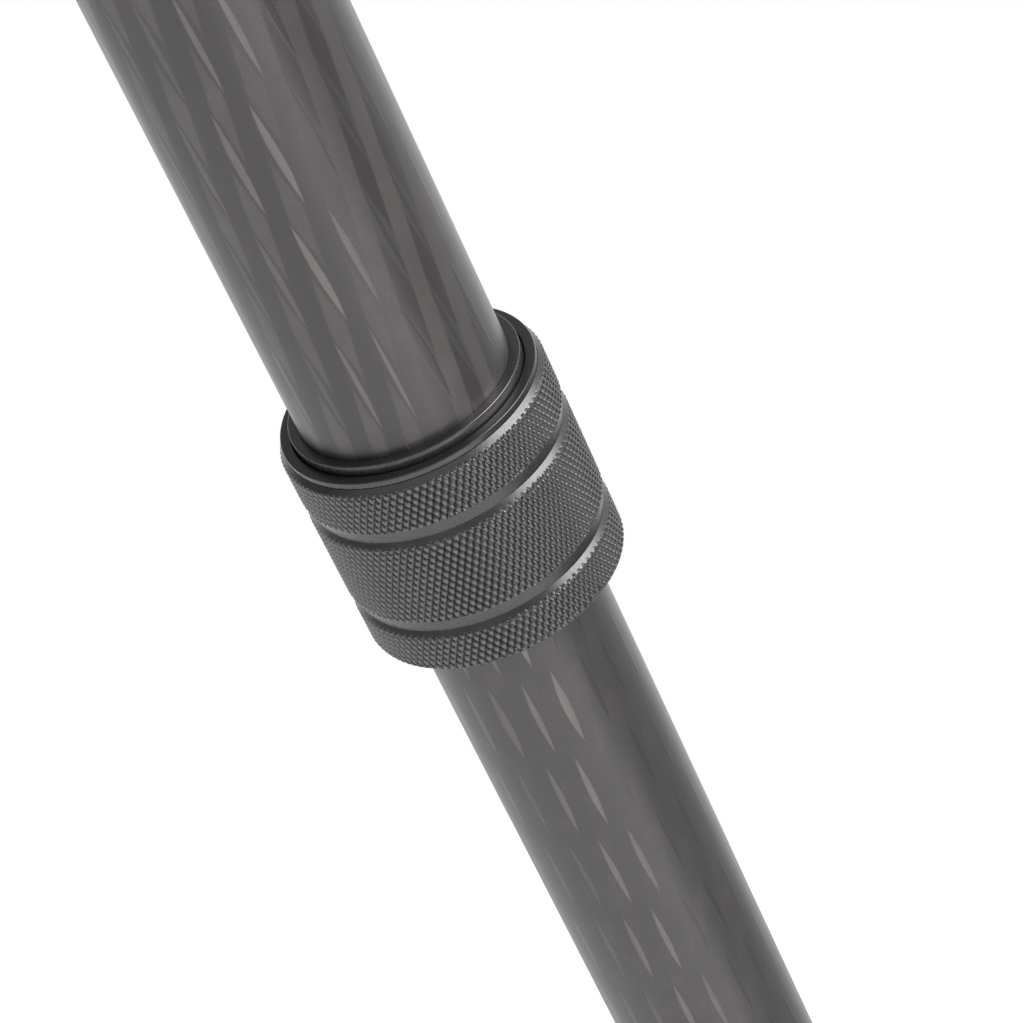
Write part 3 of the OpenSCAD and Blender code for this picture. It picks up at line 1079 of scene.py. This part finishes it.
@dataclass
class Patch:
    """A stretch of the grip's skin: a grid of turns, depths and radii."""

    turns: np.ndarray
    depths: np.ndarray
    surface: Callable[[np.ndarray, np.ndarray], np.ndarray]

    def points(self) -> np.ndarray:
        """Returns the grid's points, row by row."""
        radius = self.surface(self.turns, self.depths)
        angle = self.turns * math.tau
        rows = [radius * np.cos(angle), radius * np.sin(angle), -self.depths]
        return np.stack(rows, axis=-1).reshape(-1, 3)

    def faces(self) -> np.ndarray:
        """Returns the triangles, each cell split along the edge that the true surface has."""
        rows, columns = self.turns.shape
        radius = self.surface(self.turns, self.depths)
        corners = (np.s_[:-1, :-1], np.s_[:-1, 1:], np.s_[1:, 1:], np.s_[1:, :-1])
        middle = [sum(grid[c] for c in corners) / 4 for grid in (self.turns, self.depths)]
        true = self.surface(*middle)
        falls = np.abs((radius[corners[0]] + radius[corners[2]]) / 2 - true)
        rises = np.abs((radius[corners[1]] + radius[corners[3]]) / 2 - true)
        number = np.arange(rows * columns).reshape(rows, columns)
        a, b, c, d = (number[corner] for corner in corners)
        falling = (falls <= rises)[..., None]
        first = np.where(falling, np.stack([a, c, b], -1), np.stack([a, d, b], -1))
        second = np.where(falling, np.stack([a, d, c], -1), np.stack([b, d, c], -1))
        faces = np.concatenate([first.reshape(-1, 3), second.reshape(-1, 3)])
        spots = self.points()[faces]
        area = np.linalg.norm(
            np.cross(spots[:, 1] - spots[:, 0], spots[:, 2] - spots[:, 0]), axis=1
        )
        return faces[area > (0.005 * MM) ** 2]


@dataclass
class TwistLock:
    """One twist lock: the knurled collar and the ferrule whose top ring shows beside it."""

    size: str
    tube_r: float
    inner_r: float
    ring_step: float = 1.85 * MM
    ring_h: float = 3.0 * MM
    ring_edge: float = 0.26 * MM
    thread_step: float = 2.0 * MM
    thread_pitch: float = 1.5 * MM
    ferrule_len: float = 26 * MM
    rim_step: float = 2.06 * MM
    rim_w: float = 1.84 * MM
    rim_depth: float = 1.7 * MM
    rim_edge: float = 0.22 * MM
    rim_h: float = 1.2 * MM
    cone_h: float = 1.1 * MM
    grip_step: float = 4.87 * MM
    groove_tops: tuple[float, float] = (11.8 * MM, 31.4 * MM)
    groove_h: float = 3.8 * MM
    groove_wall: float = 0.15 * MM
    groove_step: float = 0.34 * MM
    groove_flank: float = 2.45 * MM
    groove_cut: float = 0.76 * MM
    tooth_h: float = 0.9 * MM
    fine_row: float = 0.11 * MM
    fine_columns: int = 864
    lock_len: float = 42.2 * MM
    edge_round: float = 0.4 * MM
    # How far below the crests the wear and the painted highlight fade out.
    wear_and_highlight_depth: float = 0.15 * MM
    lip_step: float = 0.6 * MM
    lip_depth: float = 37 * MM
    lip_edge: float = 0.3 * MM
    thread_top: float = 4.3 * MM
    thread_end: float = 27 * MM
    thread_gap: float = 0.35 * MM
    thread_cut: float = 0.6 * MM
    rim_foot: float = 4 * MM
    tube_gap: float = 0.03 * MM
    coarse_row: float = 0.6 * MM
    # Rows of a cut zone lie at least this far from its corners.
    least_row: float = 0.03 * MM
    inside_columns: int = 216
    ferrule_segments: int = 144

    @property
    def grip_r(self) -> float:
        """Returns the radius over the knurl's crests."""
        return self.tube_r + self.grip_step

    def corners(self) -> list[tuple[float, float]]:
        """Returns the depth and radius of each corner of the collar's outside."""
        rim_out = self.tube_r + self.rim_step + self.rim_w
        start = self.rim_depth + self.rim_h
        out = [(start, rim_out), (start + self.cone_h, self.grip_r)]
        for groove in self.groove_tops:
            out += [
                (groove, self.grip_r),
                (groove + self.groove_wall, self.grip_r - self.groove_step),
                (groove + self.groove_flank, self.grip_r - self.groove_cut),
                (groove + self.groove_h, self.grip_r),
            ]
        out.append((self.lock_len - self.edge_round, self.grip_r))
        out.append((self.lock_len, self.grip_r - self.edge_round))
        return out

    def skin(self, turns: np.ndarray, depths: np.ndarray) -> np.ndarray:
        """Returns the radius of the collar's outside.

        Args:
            turns: Places round the grip, in turns.
            depths: Places down the lock.
        """
        places, radii = zip(*self.corners())
        plain = np.interp(depths, places, radii)
        return np.minimum(plain, Knurl(self.grip_r).surface(turns, depths))

    def zones(self) -> tuple[list[tuple[float, float]], list[tuple[float, float]]]:
        """Returns where the whole knurl runs, and where cones and grooves cut into it."""
        corners = [place for place, radius in self.corners()]
        cuts = [(corners[0], corners[1] + self.tooth_h)]
        for groove in self.groove_tops:
            cuts.append((groove, groove + self.groove_h + self.tooth_h))
        cuts.append((corners[-2] - self.edge_round, corners[-1]))
        bands = [(before[1], after[0]) for before, after in zip(cuts, cuts[1:])]
        return bands, cuts

    def rows(self, start: float, end: float) -> np.ndarray:
        """Returns the depths of the rows of a cut zone, closer where a cone meets the knurl.

        Args:
            start: The depth at which the zone starts.
            end: The depth at which it ends.
        """
        corners = [place for place, radius in self.corners() if start < place < end]
        cone = max(start, corners[-1] - self.groove_h + self.groove_flank) if corners else start
        fine = np.arange(cone, end, self.fine_row)
        coarse = np.arange(start, cone, self.coarse_row)
        rows = np.unique(np.concatenate([[start, end], corners, fine, coarse]))
        fixed = np.array([start, end, *corners])
        near = np.min(np.abs(rows[:, None] - fixed[None, :]), axis=1)
        return rows[(near < 1e-9) | (near > self.least_row)]

    def collar(self) -> list[Piece]:
        """Builds the collar round the leg's axis, its top at no depth.

        Returns:
            The knurled bands, and the rest with its rim, grooves and plain inside.
        """
        bands, cuts = self.zones()
        knurled = [Patch(*Knurl(self.grip_r).lattice(*band), self.skin) for band in bands]
        turns = np.arange(self.fine_columns + 1) / self.fine_columns
        plain = []
        for start, end in cuts:
            grid_depth, grid_turns = np.meshgrid(self.rows(start, end), turns, indexing="ij")
            plain.append(Patch(grid_turns, grid_depth, self.skin))
        inside = self.inside()
        around = np.linspace(0, 1, self.inside_columns + 1)
        grid_index, grid_turns = np.meshgrid(np.arange(len(inside)), around, indexing="ij")
        ring = np.array(inside)
        radius, depth = ring[grid_index, 0], ring[grid_index, 1]
        points = np.stack(
            [
                radius * np.cos(grid_turns * math.tau),
                radius * np.sin(grid_turns * math.tau),
                -depth,
            ],
            axis=-1,
        ).reshape(-1, 3)
        number = np.arange(len(points)).reshape(grid_turns.shape)
        quads = np.stack(
            [number[:-1, :-1], number[1:, :-1], number[1:, 1:], number[:-1, 1:]], -1
        ).reshape(-1, 4)
        rest = joined(f"{self.size}_twist_collar", plain, points, quads)
        pieces = [joined(f"{self.size}_knurl_bands", knurled), rest]
        for piece in pieces:
            mark_crests(piece, self.grip_r, self.wear_and_highlight_depth)
        return pieces

    def inside(self) -> list[tuple[float, float]]:
        """Returns the outline from the collar's lower edge, up its inside and over its rim."""
        rim_in = self.tube_r + self.rim_step
        rim_out = rim_in + self.rim_w
        bore = self.inner_r + self.lip_step
        thread = self.tube_r + self.thread_step + self.thread_gap
        rim = rounded(
            [
                (rim_in, 3 * MM),
                (rim_in, self.rim_depth),
                (rim_out, self.rim_depth),
                (rim_out, self.rim_depth + self.rim_h),
            ],
            self.rim_edge,
        )
        return [
            (self.grip_r - self.edge_round, self.lock_len),
            (bore + self.lip_edge, self.lock_len),
            (bore, self.lock_len - self.lip_edge),
            (bore, self.lip_depth),
            (thread, self.thread_end),
            (thread, self.thread_top),
            (rim_in, self.rim_foot),
            *rim,
        ]

    def ferrule(self) -> Piece:
        """Builds the ferrule with its smooth top ring and its thread, its top at no depth.

        Returns:
            The ferrule.
        """
        ring_r = self.tube_r + self.ring_step
        thread_r = self.tube_r + self.thread_step
        tube = self.tube_r + self.tube_gap
        ring = rounded(
            [(tube, 0.3 * MM), (tube, 0.0), (ring_r, 0.0), (ring_r, self.ring_h)], self.ring_edge
        )
        thread = []
        turns = int((self.ferrule_len - self.ring_h - 1 * MM) / self.thread_pitch)
        for k in range(turns):
            start = self.ring_h + 0.5 * MM + k * self.thread_pitch
            thread += [
                (thread_r - self.thread_cut, start),
                (thread_r, start + 0.4 * self.thread_pitch),
                (thread_r, start + 0.6 * self.thread_pitch),
            ]
        end = [(thread_r - self.thread_cut, self.ferrule_len), (tube, self.ferrule_len)]
        outline = ring + thread + end
        name = f"{self.size}_lock_ferrule"
        return turned(name, outline, self.ferrule_segments, Matrix.Identity(4))


@dataclass
class Leg:
    """One leg: tubes, locks, yoke and foot."""

    legs: LegFrame
    paints: Paints
    lock_pieces: dict[str, tuple[Piece, ...]]
    segments: int = 160
    tube_wall: float = 1.2 * MM

    def build(self) -> None:
        """Builds and dresses the whole leg."""
        number = self.legs.leg
        for size, body, finish in (
            ("upper", f"leg_{number}", Finish.CARBON_WIDE),
            ("middle", f"middle_{number}", Finish.CARBON),
            ("lower", f"lower_{number}", Finish.CARBON),
        ):
            self.tube(size, body, finish)
        self.lock("upper", "upper", "middle", f"leg_{number}")
        self.lock("lower", "middle", "lower", f"middle_{number}")
        for node, finish in (
            ("leg_yoke", Finish.CASTING),
            ("hinge_pin", Finish.STEEL),
            ("angle_stop", Finish.GRIP),
            ("upper_collet", Finish.PLASTIC),
            ("lower_collet", Finish.PLASTIC),
            ("middle_shims", Finish.PLASTIC),
            ("lower_shims", Finish.PLASTIC),
            ("upper_seal", Finish.SEAL),
            ("lower_seal", Finish.SEAL),
            ("foot_stem", Finish.GRIP),
        ):
            self.paints.paint(frame["nodes"][f"{node}_{number}"], finish)
        foot = RubberFoot(number).build(self.legs)
        self.paints.dress(foot, Finish.FOOT, f"lower_{number}", f"rubber_foot_{number}")
        log.info("leg %d dressed", number)

    def tube(self, size: str, body: str, finish: Finish) -> None:
        """Builds one wound tube with the winding's UV map in turns and metres.

        Args:
            size: Which tube it is: upper, middle or lower.
            body: The body that it rides on.
            finish: The tube's finish.
        """
        node = f"{size}_tube_{self.legs.leg}"
        low, high = self.legs.depths(node)
        outer = self.legs.radius(node)
        inner = outer - self.tube_wall
        edge = 0.2 * MM
        profile = [
            (outer - edge, low),
            (outer, low + edge),
            (outer, high - edge),
            (outer - edge, high),
            (inner, high),
            (inner, low),
        ]
        count, n = len(profile), self.segments
        points = np.concatenate([ring_points(r, low - t, n) for r, t in profile])
        faces, uvs = [], []
        for k in range(count):
            after = (k + 1) % count
            for j in range(n):
                right = (j + 1) % n
                faces.append((k * n + j, after * n + j, after * n + right, k * n + right))
                near, far = profile[k][1], profile[after][1]
                left, side = j / n, (j + 1) / n
                uvs += [(left, near), (left, far), (side, far), (side, near)]
        piece = mesh_object(
            f"{size}_leg_tube_{self.legs.leg}", points, faces, np.array(uvs), smooth_angle=30
        )
        piece.data.transform(self.legs.matrix(low))
        self.paints.dress(piece, finish, body, node)

    def lock(self, size: str, outer_tube: str, inner_tube: str, fixed: str) -> None:
        """Puts one twist lock on the leg.

        Args:
            size: Which lock it is: upper or lower.
            outer_tube: The tube that carries it.
            inner_tube: The tube that slides in it.
            fixed: The body that its ferrule rides on.
        """
        number = self.legs.leg
        top = self.legs.depths(f"{size}_ferrule_{number}")[0]
        if size not in self.lock_pieces:
            lock = TwistLock(
                size,
                self.legs.radius(f"{outer_tube}_tube_{number}"),
                self.legs.radius(f"{inner_tube}_tube_{number}"),
            )
            self.lock_pieces[size] = (lock.ferrule(), *lock.collar())
        ferrule, *collar = self.lock_pieces[size]
        for part in collar:
            piece = self.copy(part, top)
            self.paints.dress(
                piece, Finish.GRIP, f"{size}_lock_{number}", f"{size}_collar_{number}"
            )
        piece = self.copy(ferrule, top)
        self.paints.dress(piece, Finish.RING, fixed, f"{size}_ferrule_{number}")

    def copy(self, part: Piece, depth: float) -> Piece:
        """Puts a copy of a turned part on the leg.

        Args:
            part: The part, drawn round +Z with its top at the origin.
            depth: The depth of its top down the leg.

        Returns:
            The copy.
        """
        piece = part.copy()
        piece.data = part.data.copy()
        piece.name = f"{part.name}_{self.legs.leg}"
        piece.data.transform(self.legs.matrix(depth))
        bpy.context.scene.collection.objects.link(piece)
        return piece


@dataclass
class RubberFoot:
    """The screw-on rubber foot: a waisted body with moulded rings and a round sole."""

    leg: int
    top_r: float = 15.5 * MM
    wide_r: float = 19 * MM
    height: float = 39 * MM
    sole_r: float = 30 * MM
    bore_r: float = 5.05 * MM
    bore_h: float = 20.1 * MM
    rings: int = 4
    ring_pitch: float = 3.2 * MM
    ring_cut: float = 0.7 * MM
    segments: int = 96

    def build(self, legs: LegFrame) -> Piece:
        """Builds the foot at the end of a leg.

        Args:
            legs: The leg's frame.

        Returns:
            The foot.
        """
        top = legs.depths(f"rubber_foot_{self.leg}")[0]
        shoulder, waist = self.height / 2, self.height / 4
        outline = [(self.bore_r, 0.0), (self.top_r - 1 * MM, 0.0), (self.top_r, 1 * MM)]
        outline += [(self.top_r, waist), (self.wide_r, shoulder)]
        for k in range(self.rings):
            start = shoulder + (k + 0.35) * self.ring_pitch
            outline += [
                (self.wide_r, start),
                (self.wide_r - self.ring_cut, start + self.ring_cut / 2),
                (self.wide_r - self.ring_cut, start + 1.1 * MM - self.ring_cut / 2),
                (self.wide_r, start + 1.1 * MM),
            ]
        outline = rounded(outline, 0.3 * MM, 3)[:-1]
        centre = self.height - self.sole_r
        reach = math.asin(self.wide_r / self.sole_r)
        sole = [
            (self.sole_r * math.sin(a), centre + self.sole_r * math.cos(a))
            for a in np.linspace(reach, 0.03, 12)
        ]
        outline += sole + [(1.0 * MM, self.height - 0.5 * MM), (self.bore_r, self.bore_h)]
        return turned(f"foot_rubber_{self.leg}", outline, self.segments, legs.matrix(top))


@dataclass
class HeadStud:
    """The camera stud: a cut thread above the plate, a plain flange below it."""

    crest_r: float = 4.76 * MM
    root_r: float = 3.95 * MM
    pitch: float = 25.4 / 16 * MM
    flat: float = 0.125
    chamfer: float = 0.7 * MM
    segments: int = 48
    steps: int = 8

    def build(self) -> Piece:
        """Builds the stud from its CAD node's box.

        Returns:
            The stud.
        """
        low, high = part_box("head_stud")
        flange_r = (high.x - low.x) / 2
        seat = low.z + 3 * MM
        start = -0.6 * MM
        rows = self.rows(start, high.z)
        plain = [(0.0005, low.z), (flange_r, low.z), (flange_r, seat), (self.crest_r, seat)]
        plain.append((self.crest_r, start))
        rings = [ring_points(r, z, self.segments) for r, z in plain] + rows
        rings.append(rings[-1] * np.array([0.05, 0.05, 1.0]))
        faces = ring_faces(len(rings), self.segments)
        piece = mesh_object("camera_stud", np.concatenate(rings), faces, smooth_angle=25)
        finish_mesh(piece, Matrix.Identity(4))
        return piece

    def rows(self, start: float, end: float) -> list[np.ndarray]:
        """Returns rings of points that climb with the thread and are cut off at both ends.

        Args:
            start: The height at which the thread begins.
            end: The height of the stud's top.
        """
        column = np.arange(self.segments)
        out = []
        count = math.ceil((end - start) / self.pitch + 1) * self.steps
        for k in range(-self.steps, count + 1):
            height = start + (k / self.steps + column / self.segments) * self.pitch
            off = abs((k / self.steps) % 1 - 0.5) * 2
            depth = min(1.0, max(0.0, (off - self.flat) / (1 - 2 * self.flat)))
            radius = self.crest_r - (self.crest_r - self.root_r) * depth
            height = np.clip(height, start, end)
            limit = self.crest_r - np.maximum(0, height - (end - self.chamfer))
            out.append(ring_points(np.minimum(radius, limit), height, self.segments))
        return out


@dataclass
class SocketScrew:
    """A cap screw with a hexagon socket, its head downward."""

    at: tuple[float, float]
    low: float
    seat: float
    end: float
    head_r: float = 4.25 * MM
    shank_r: float = 2.5 * MM
    key_r: float = 2.31 * MM
    key_depth: float = 2.5 * MM
    segments: int = 48

    def build(self, number: int) -> Piece:
        """Builds the screw.

        Args:
            number: The screw's number, for its name.

        Returns:
            The screw.
        """
        angle = np.arange(self.segments) * math.tau / self.segments
        sixth = math.tau / 6
        hexagon = self.key_r * math.cos(sixth / 2) / np.cos(angle % sixth - sixth / 2)
        round_ring = np.ones(self.segments)
        edge = 0.4 * MM
        rings = [
            (hexagon * 0.02, self.low + self.key_depth + 0.6 * MM),
            (hexagon, self.low + self.key_depth),
            (hexagon, self.low + 0.2 * MM),
            (hexagon + 0.2 * MM, self.low),
            (round_ring * (self.head_r - edge), self.low),
            (round_ring * self.head_r, self.low + edge),
            (round_ring * self.head_r, self.seat),
            (round_ring * self.shank_r, self.seat),
            (round_ring * self.shank_r, self.end - edge),
            (round_ring * (self.shank_r - edge), self.end),
            (round_ring * 0.02 * MM, self.end),
        ]
        points = np.concatenate([ring_points(r, z, self.segments) for r, z in rings])
        faces = ring_faces(len(rings), self.segments)
        piece = mesh_object(f"plate_screw_{number}", points, faces, smooth_angle=30)
        finish_mesh(piece, Matrix.Translation((*self.at, 0.0)))
        return piece


@dataclass
class SpiritLevel:
    """The round level: a dark ring pressed in the spider, with a domed window in it."""

    rim_w: float = 0.9 * MM
    dome: float = 0.5 * MM
    segments: int = 64

    def build(self) -> tuple[Piece, Piece]:
        """Builds the level from its CAD node's box.

        Returns:
            The ring and the window.
        """
        low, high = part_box("spirit_level")
        radius = (high.x - low.x) / 2
        centre = Matrix.Translation(((low.x + high.x) / 2, (low.y + high.y) / 2, high.z))
        height = high.z - low.z
        inner = radius - self.rim_w
        ring = turned(
            "level_ring",
            rounded([(inner, 0.0), (radius, 0.0), (radius, height), (inner, height)], 0.25 * MM),
            self.segments,
            centre,
        )
        glass = inner - 0.05 * MM
        ball = (glass**2 + self.dome**2) / (2 * self.dome)
        arc = [
            (r, self.dome + 0.1 * MM - (math.sqrt(ball**2 - r**2) - ball + self.dome))
            for r in np.linspace(0.05 * MM, glass, 12)
        ]
        window = turned(
            "level_window", arc + [(glass, height), (0.05 * MM, height)], self.segments, centre
        )
        return ring, window


@dataclass
class Head:
    """The spider, head plate, stud, screws, level and hook."""

    paints: Paints
    screw_h: float = 5 * MM

    def build(self) -> None:
        """Builds and dresses the head's pieces."""
        for node, finish in (
            ("spider", Finish.CASTING), ("head_plate", Finish.BLACK), ("ballast_hook", Finish.STEEL)
        ):
            self.paints.paint(frame["nodes"][node], finish)
        dress = self.paints.dress
        dress(HeadStud().build(), Finish.STEEL, "apex", "head_stud")
        ring, window = SpiritLevel().build()
        dress(ring, Finish.BLACK, "apex", "spirit_level")
        dress(window, Finish.LEVEL, "apex", "spirit_level")
        for number, screw in enumerate(self.screws(), 1):
            dress(screw.build(number), Finish.STEEL, "apex", "plate_screws")
        log.info("head dressed")

    def screws(self) -> list[SocketScrew]:
        """Returns the plate's screws, found from the loose pieces of their CAD node."""
        co = node_points("plate_screws")
        third = np.floor((np.arctan2(co[:, 1], co[:, 0]) + math.radians(150)) / math.radians(120))
        low, high = float(co[:, 2].min()), float(co[:, 2].max())
        out = []
        for side in np.unique(third % 3):
            group = co[third % 3 == side]
            middle = (group.min(axis=0) + group.max(axis=0)) / 2
            at = (float(middle[0]), float(middle[1]))
            out.append(SocketScrew(at, low, low + self.screw_h, high))
        return out


# Studio


@dataclass(frozen=True)
class Panel:
    """A soft panel of the studio, as seen from the tripod.

    Its centre is a direction: right, up and toward the camera. It is full within the inner angle
    and gone past the outer one.
    """

    centre: tuple[float, float, float]
    inner: float
    outer: float
    strength: float


@dataclass
class Studio:
    """The white surroundings, the light and the camera of the photograph."""

    lens: float = 123.16
    sensor: float = 36.0
    pitch: float = 25.06
    lock_depth: float = 23.5 * MM
    unit: float = 18.5 * MM
    offset: tuple[float, float, float] = (-0.512, -0.176, 31.508)
    floor_r: float = 1.5
    floor_segments: int = 96
    # How much of its own light the floor adds in the camera's view, so that it renders white.
    floor_lift: float = 0.2
    dimness: float = 0.2
    panels: tuple[Panel, ...] = (
        # The key stands high at the right, a little in front.
        Panel((0.66, 0.56, 0.48), 14, 34, 5.8),
        # It runs on over the top toward the backdrop.
        Panel((0.62, 0.62, -0.45), 12, 42, 0.55),
        # The white backdrop.
        Panel((-0.12, 0.0, -1.0), 28, 58, 1.0),
        # Light that the white floor throws back.
        Panel((0.6, -0.68, 0.42), 12, 28, 1.2),
        Panel((-0.4, -0.8, -0.45), 20, 55, 0.33),
        # A weak fill at the left of the camera.
        Panel((-0.5, 0.1, 0.8), 10, 50, 0.3),
    )

    def build(self, leg: LegFrame) -> None:
        """Builds the studio round the leg that the photograph shows.

        Args:
            leg: The frame of that leg.
        """
        self.camera(leg)
        self.floor()
        self.world()
        scene = bpy.context.scene
        scene.view_settings.view_transform = "Standard"
        log.info("studio set")

    def look(self) -> tuple[Vector, Vector, Vector]:
        """Returns the camera's right, downward and forward directions."""
        tilt = math.radians(self.pitch)
        right = Vector((1, 0, 0))
        forward = Vector((0, math.cos(tilt), -math.sin(tilt)))
        downward = Vector((0, -math.sin(tilt), -math.cos(tilt)))
        return right, downward, forward

    def target(self, leg: LegFrame) -> Vector:
        """Returns the point on the leg's axis at the middle of the upper lock.

        Args:
            leg: The leg's frame.
        """
        top = leg.depths(f"upper_ferrule_{leg.leg}")[0]
        return leg.pin + leg.down * (top + self.lock_depth)

    def camera(self, leg: LegFrame) -> None:
        """Adds the camera at the photograph's place.

        Args:
            leg: The leg's frame.
        """
        right, downward, forward = self.look()
        x, y, z = (self.unit * k for k in self.offset)
        place = self.target(leg) - (right * x + downward * y + forward * z)
        data = bpy.data.cameras.new("camera")
        data.lens = self.lens
        data.sensor_width = self.sensor
        data.clip_start = 0.01
        data.clip_end = 100.0
        camera = bpy.data.objects.new("camera", data)
        turn = Matrix((right, -downward, -forward)).transposed().to_4x4()
        camera.matrix_world = Matrix.Translation(place) @ turn
        bpy.context.scene.collection.objects.link(camera)
        bpy.context.scene.camera = camera

    def floor(self) -> None:
        """Adds a plain round floor under the feet, small enough to leave low light from far off."""
        rim = ring_points(self.floor_r, CAD_BOX[0][2], self.floor_segments)
        floor = mesh_object("studio_floor", rim, [range(len(rim))])
        mat = bpy.data.materials.new("paper_white_matt")
        mat.use_nodes = True
        mat.node_tree.nodes.clear()
        paper = add_node(
            mat,
            "ShaderNodeBsdfPrincipled",
            inputs={"Base Color": linear("#fafafa"), "Roughness": 0.9},
        )
        path = add_node(mat, "ShaderNodeLightPath")
        lift = math_node(mat, "MULTIPLY", path.outputs["Is Camera Ray"], self.floor_lift)
        glow = add_node(mat, "ShaderNodeEmission", links={"Strength": lift})
        both = add_node(mat, "ShaderNodeAddShader", links={0: paper.outputs[0], 1: glow.outputs[0]})
        add_node(mat, "ShaderNodeOutputMaterial", links={"Surface": both.outputs[0]})
        floor.data.materials.append(mat)

    def world(self) -> None:
        """Lights the tripod from soft panels all round, and shows the camera plain white."""
        world = bpy.data.worlds.new("studio_air")
        bpy.context.scene.world = world
        world.use_nodes = True
        world.node_tree.nodes.clear()
        way = add_node(world, "ShaderNodeTexCoord").outputs["Generated"]
        total: object = self.dimness
        for panel in self.panels:
            total = math_node(world, "ADD", total, self.panel_light(world, way, panel))
        white = linear("#ffffff")
        light = add_node(world, "ShaderNodeBackground", None, {0: white}, {1: total})
        seen = add_node(world, "ShaderNodeBackground", None, {0: white, 1: 1.0})
        path = add_node(world, "ShaderNodeLightPath")
        mix = add_node(
            world,
            "ShaderNodeMixShader",
            links={0: path.outputs["Is Camera Ray"], 1: light.outputs[0], 2: seen.outputs[0]},
        )
        add_node(world, "ShaderNodeOutputWorld", links={0: mix.outputs[0]})

    def panel_light(self, world: bpy.types.World, way: Socket, panel: "Panel") -> Socket:
        """Returns how bright one panel is in each direction.

        Args:
            world: The world whose tree gets the nodes.
            way: The direction that a ray leaves in.
            panel: The panel.
        """
        right, downward, forward = self.look()
        x, y, z = panel.centre
        centre = (right * x - downward * y - forward * z).normalized()
        dot = add_node(
            world,
            "ShaderNodeVectorMath",
            {"operation": "DOT_PRODUCT"},
            {1: tuple(centre)},
            {0: way},
        )
        return add_node(
            world,
            "ShaderNodeMapRange",
            {"interpolation_type": "SMOOTHSTEP"},
            {
                1: math.cos(math.radians(panel.outer)),
                2: math.cos(math.radians(panel.inner)),
                3: 0.0,
                4: panel.strength,
            },
            {0: dot.outputs["Value"]},
        ).outputs[0]


def main() -> None:
    """Builds every piece in order."""
    paints = Paints()
    Head(paints).build()
    frames = [LegFrame.read(leg) for leg in LEGS]
    lock_pieces: dict[str, tuple[Piece, ...]] = {}
    for legs in frames:
        Leg(legs, paints, lock_pieces).build()
    for part in (part for parts in lock_pieces.values() for part in parts):
        bpy.data.objects.remove(part)
    Studio().build(frames[0])


if __name__ == "__main__":
    main()
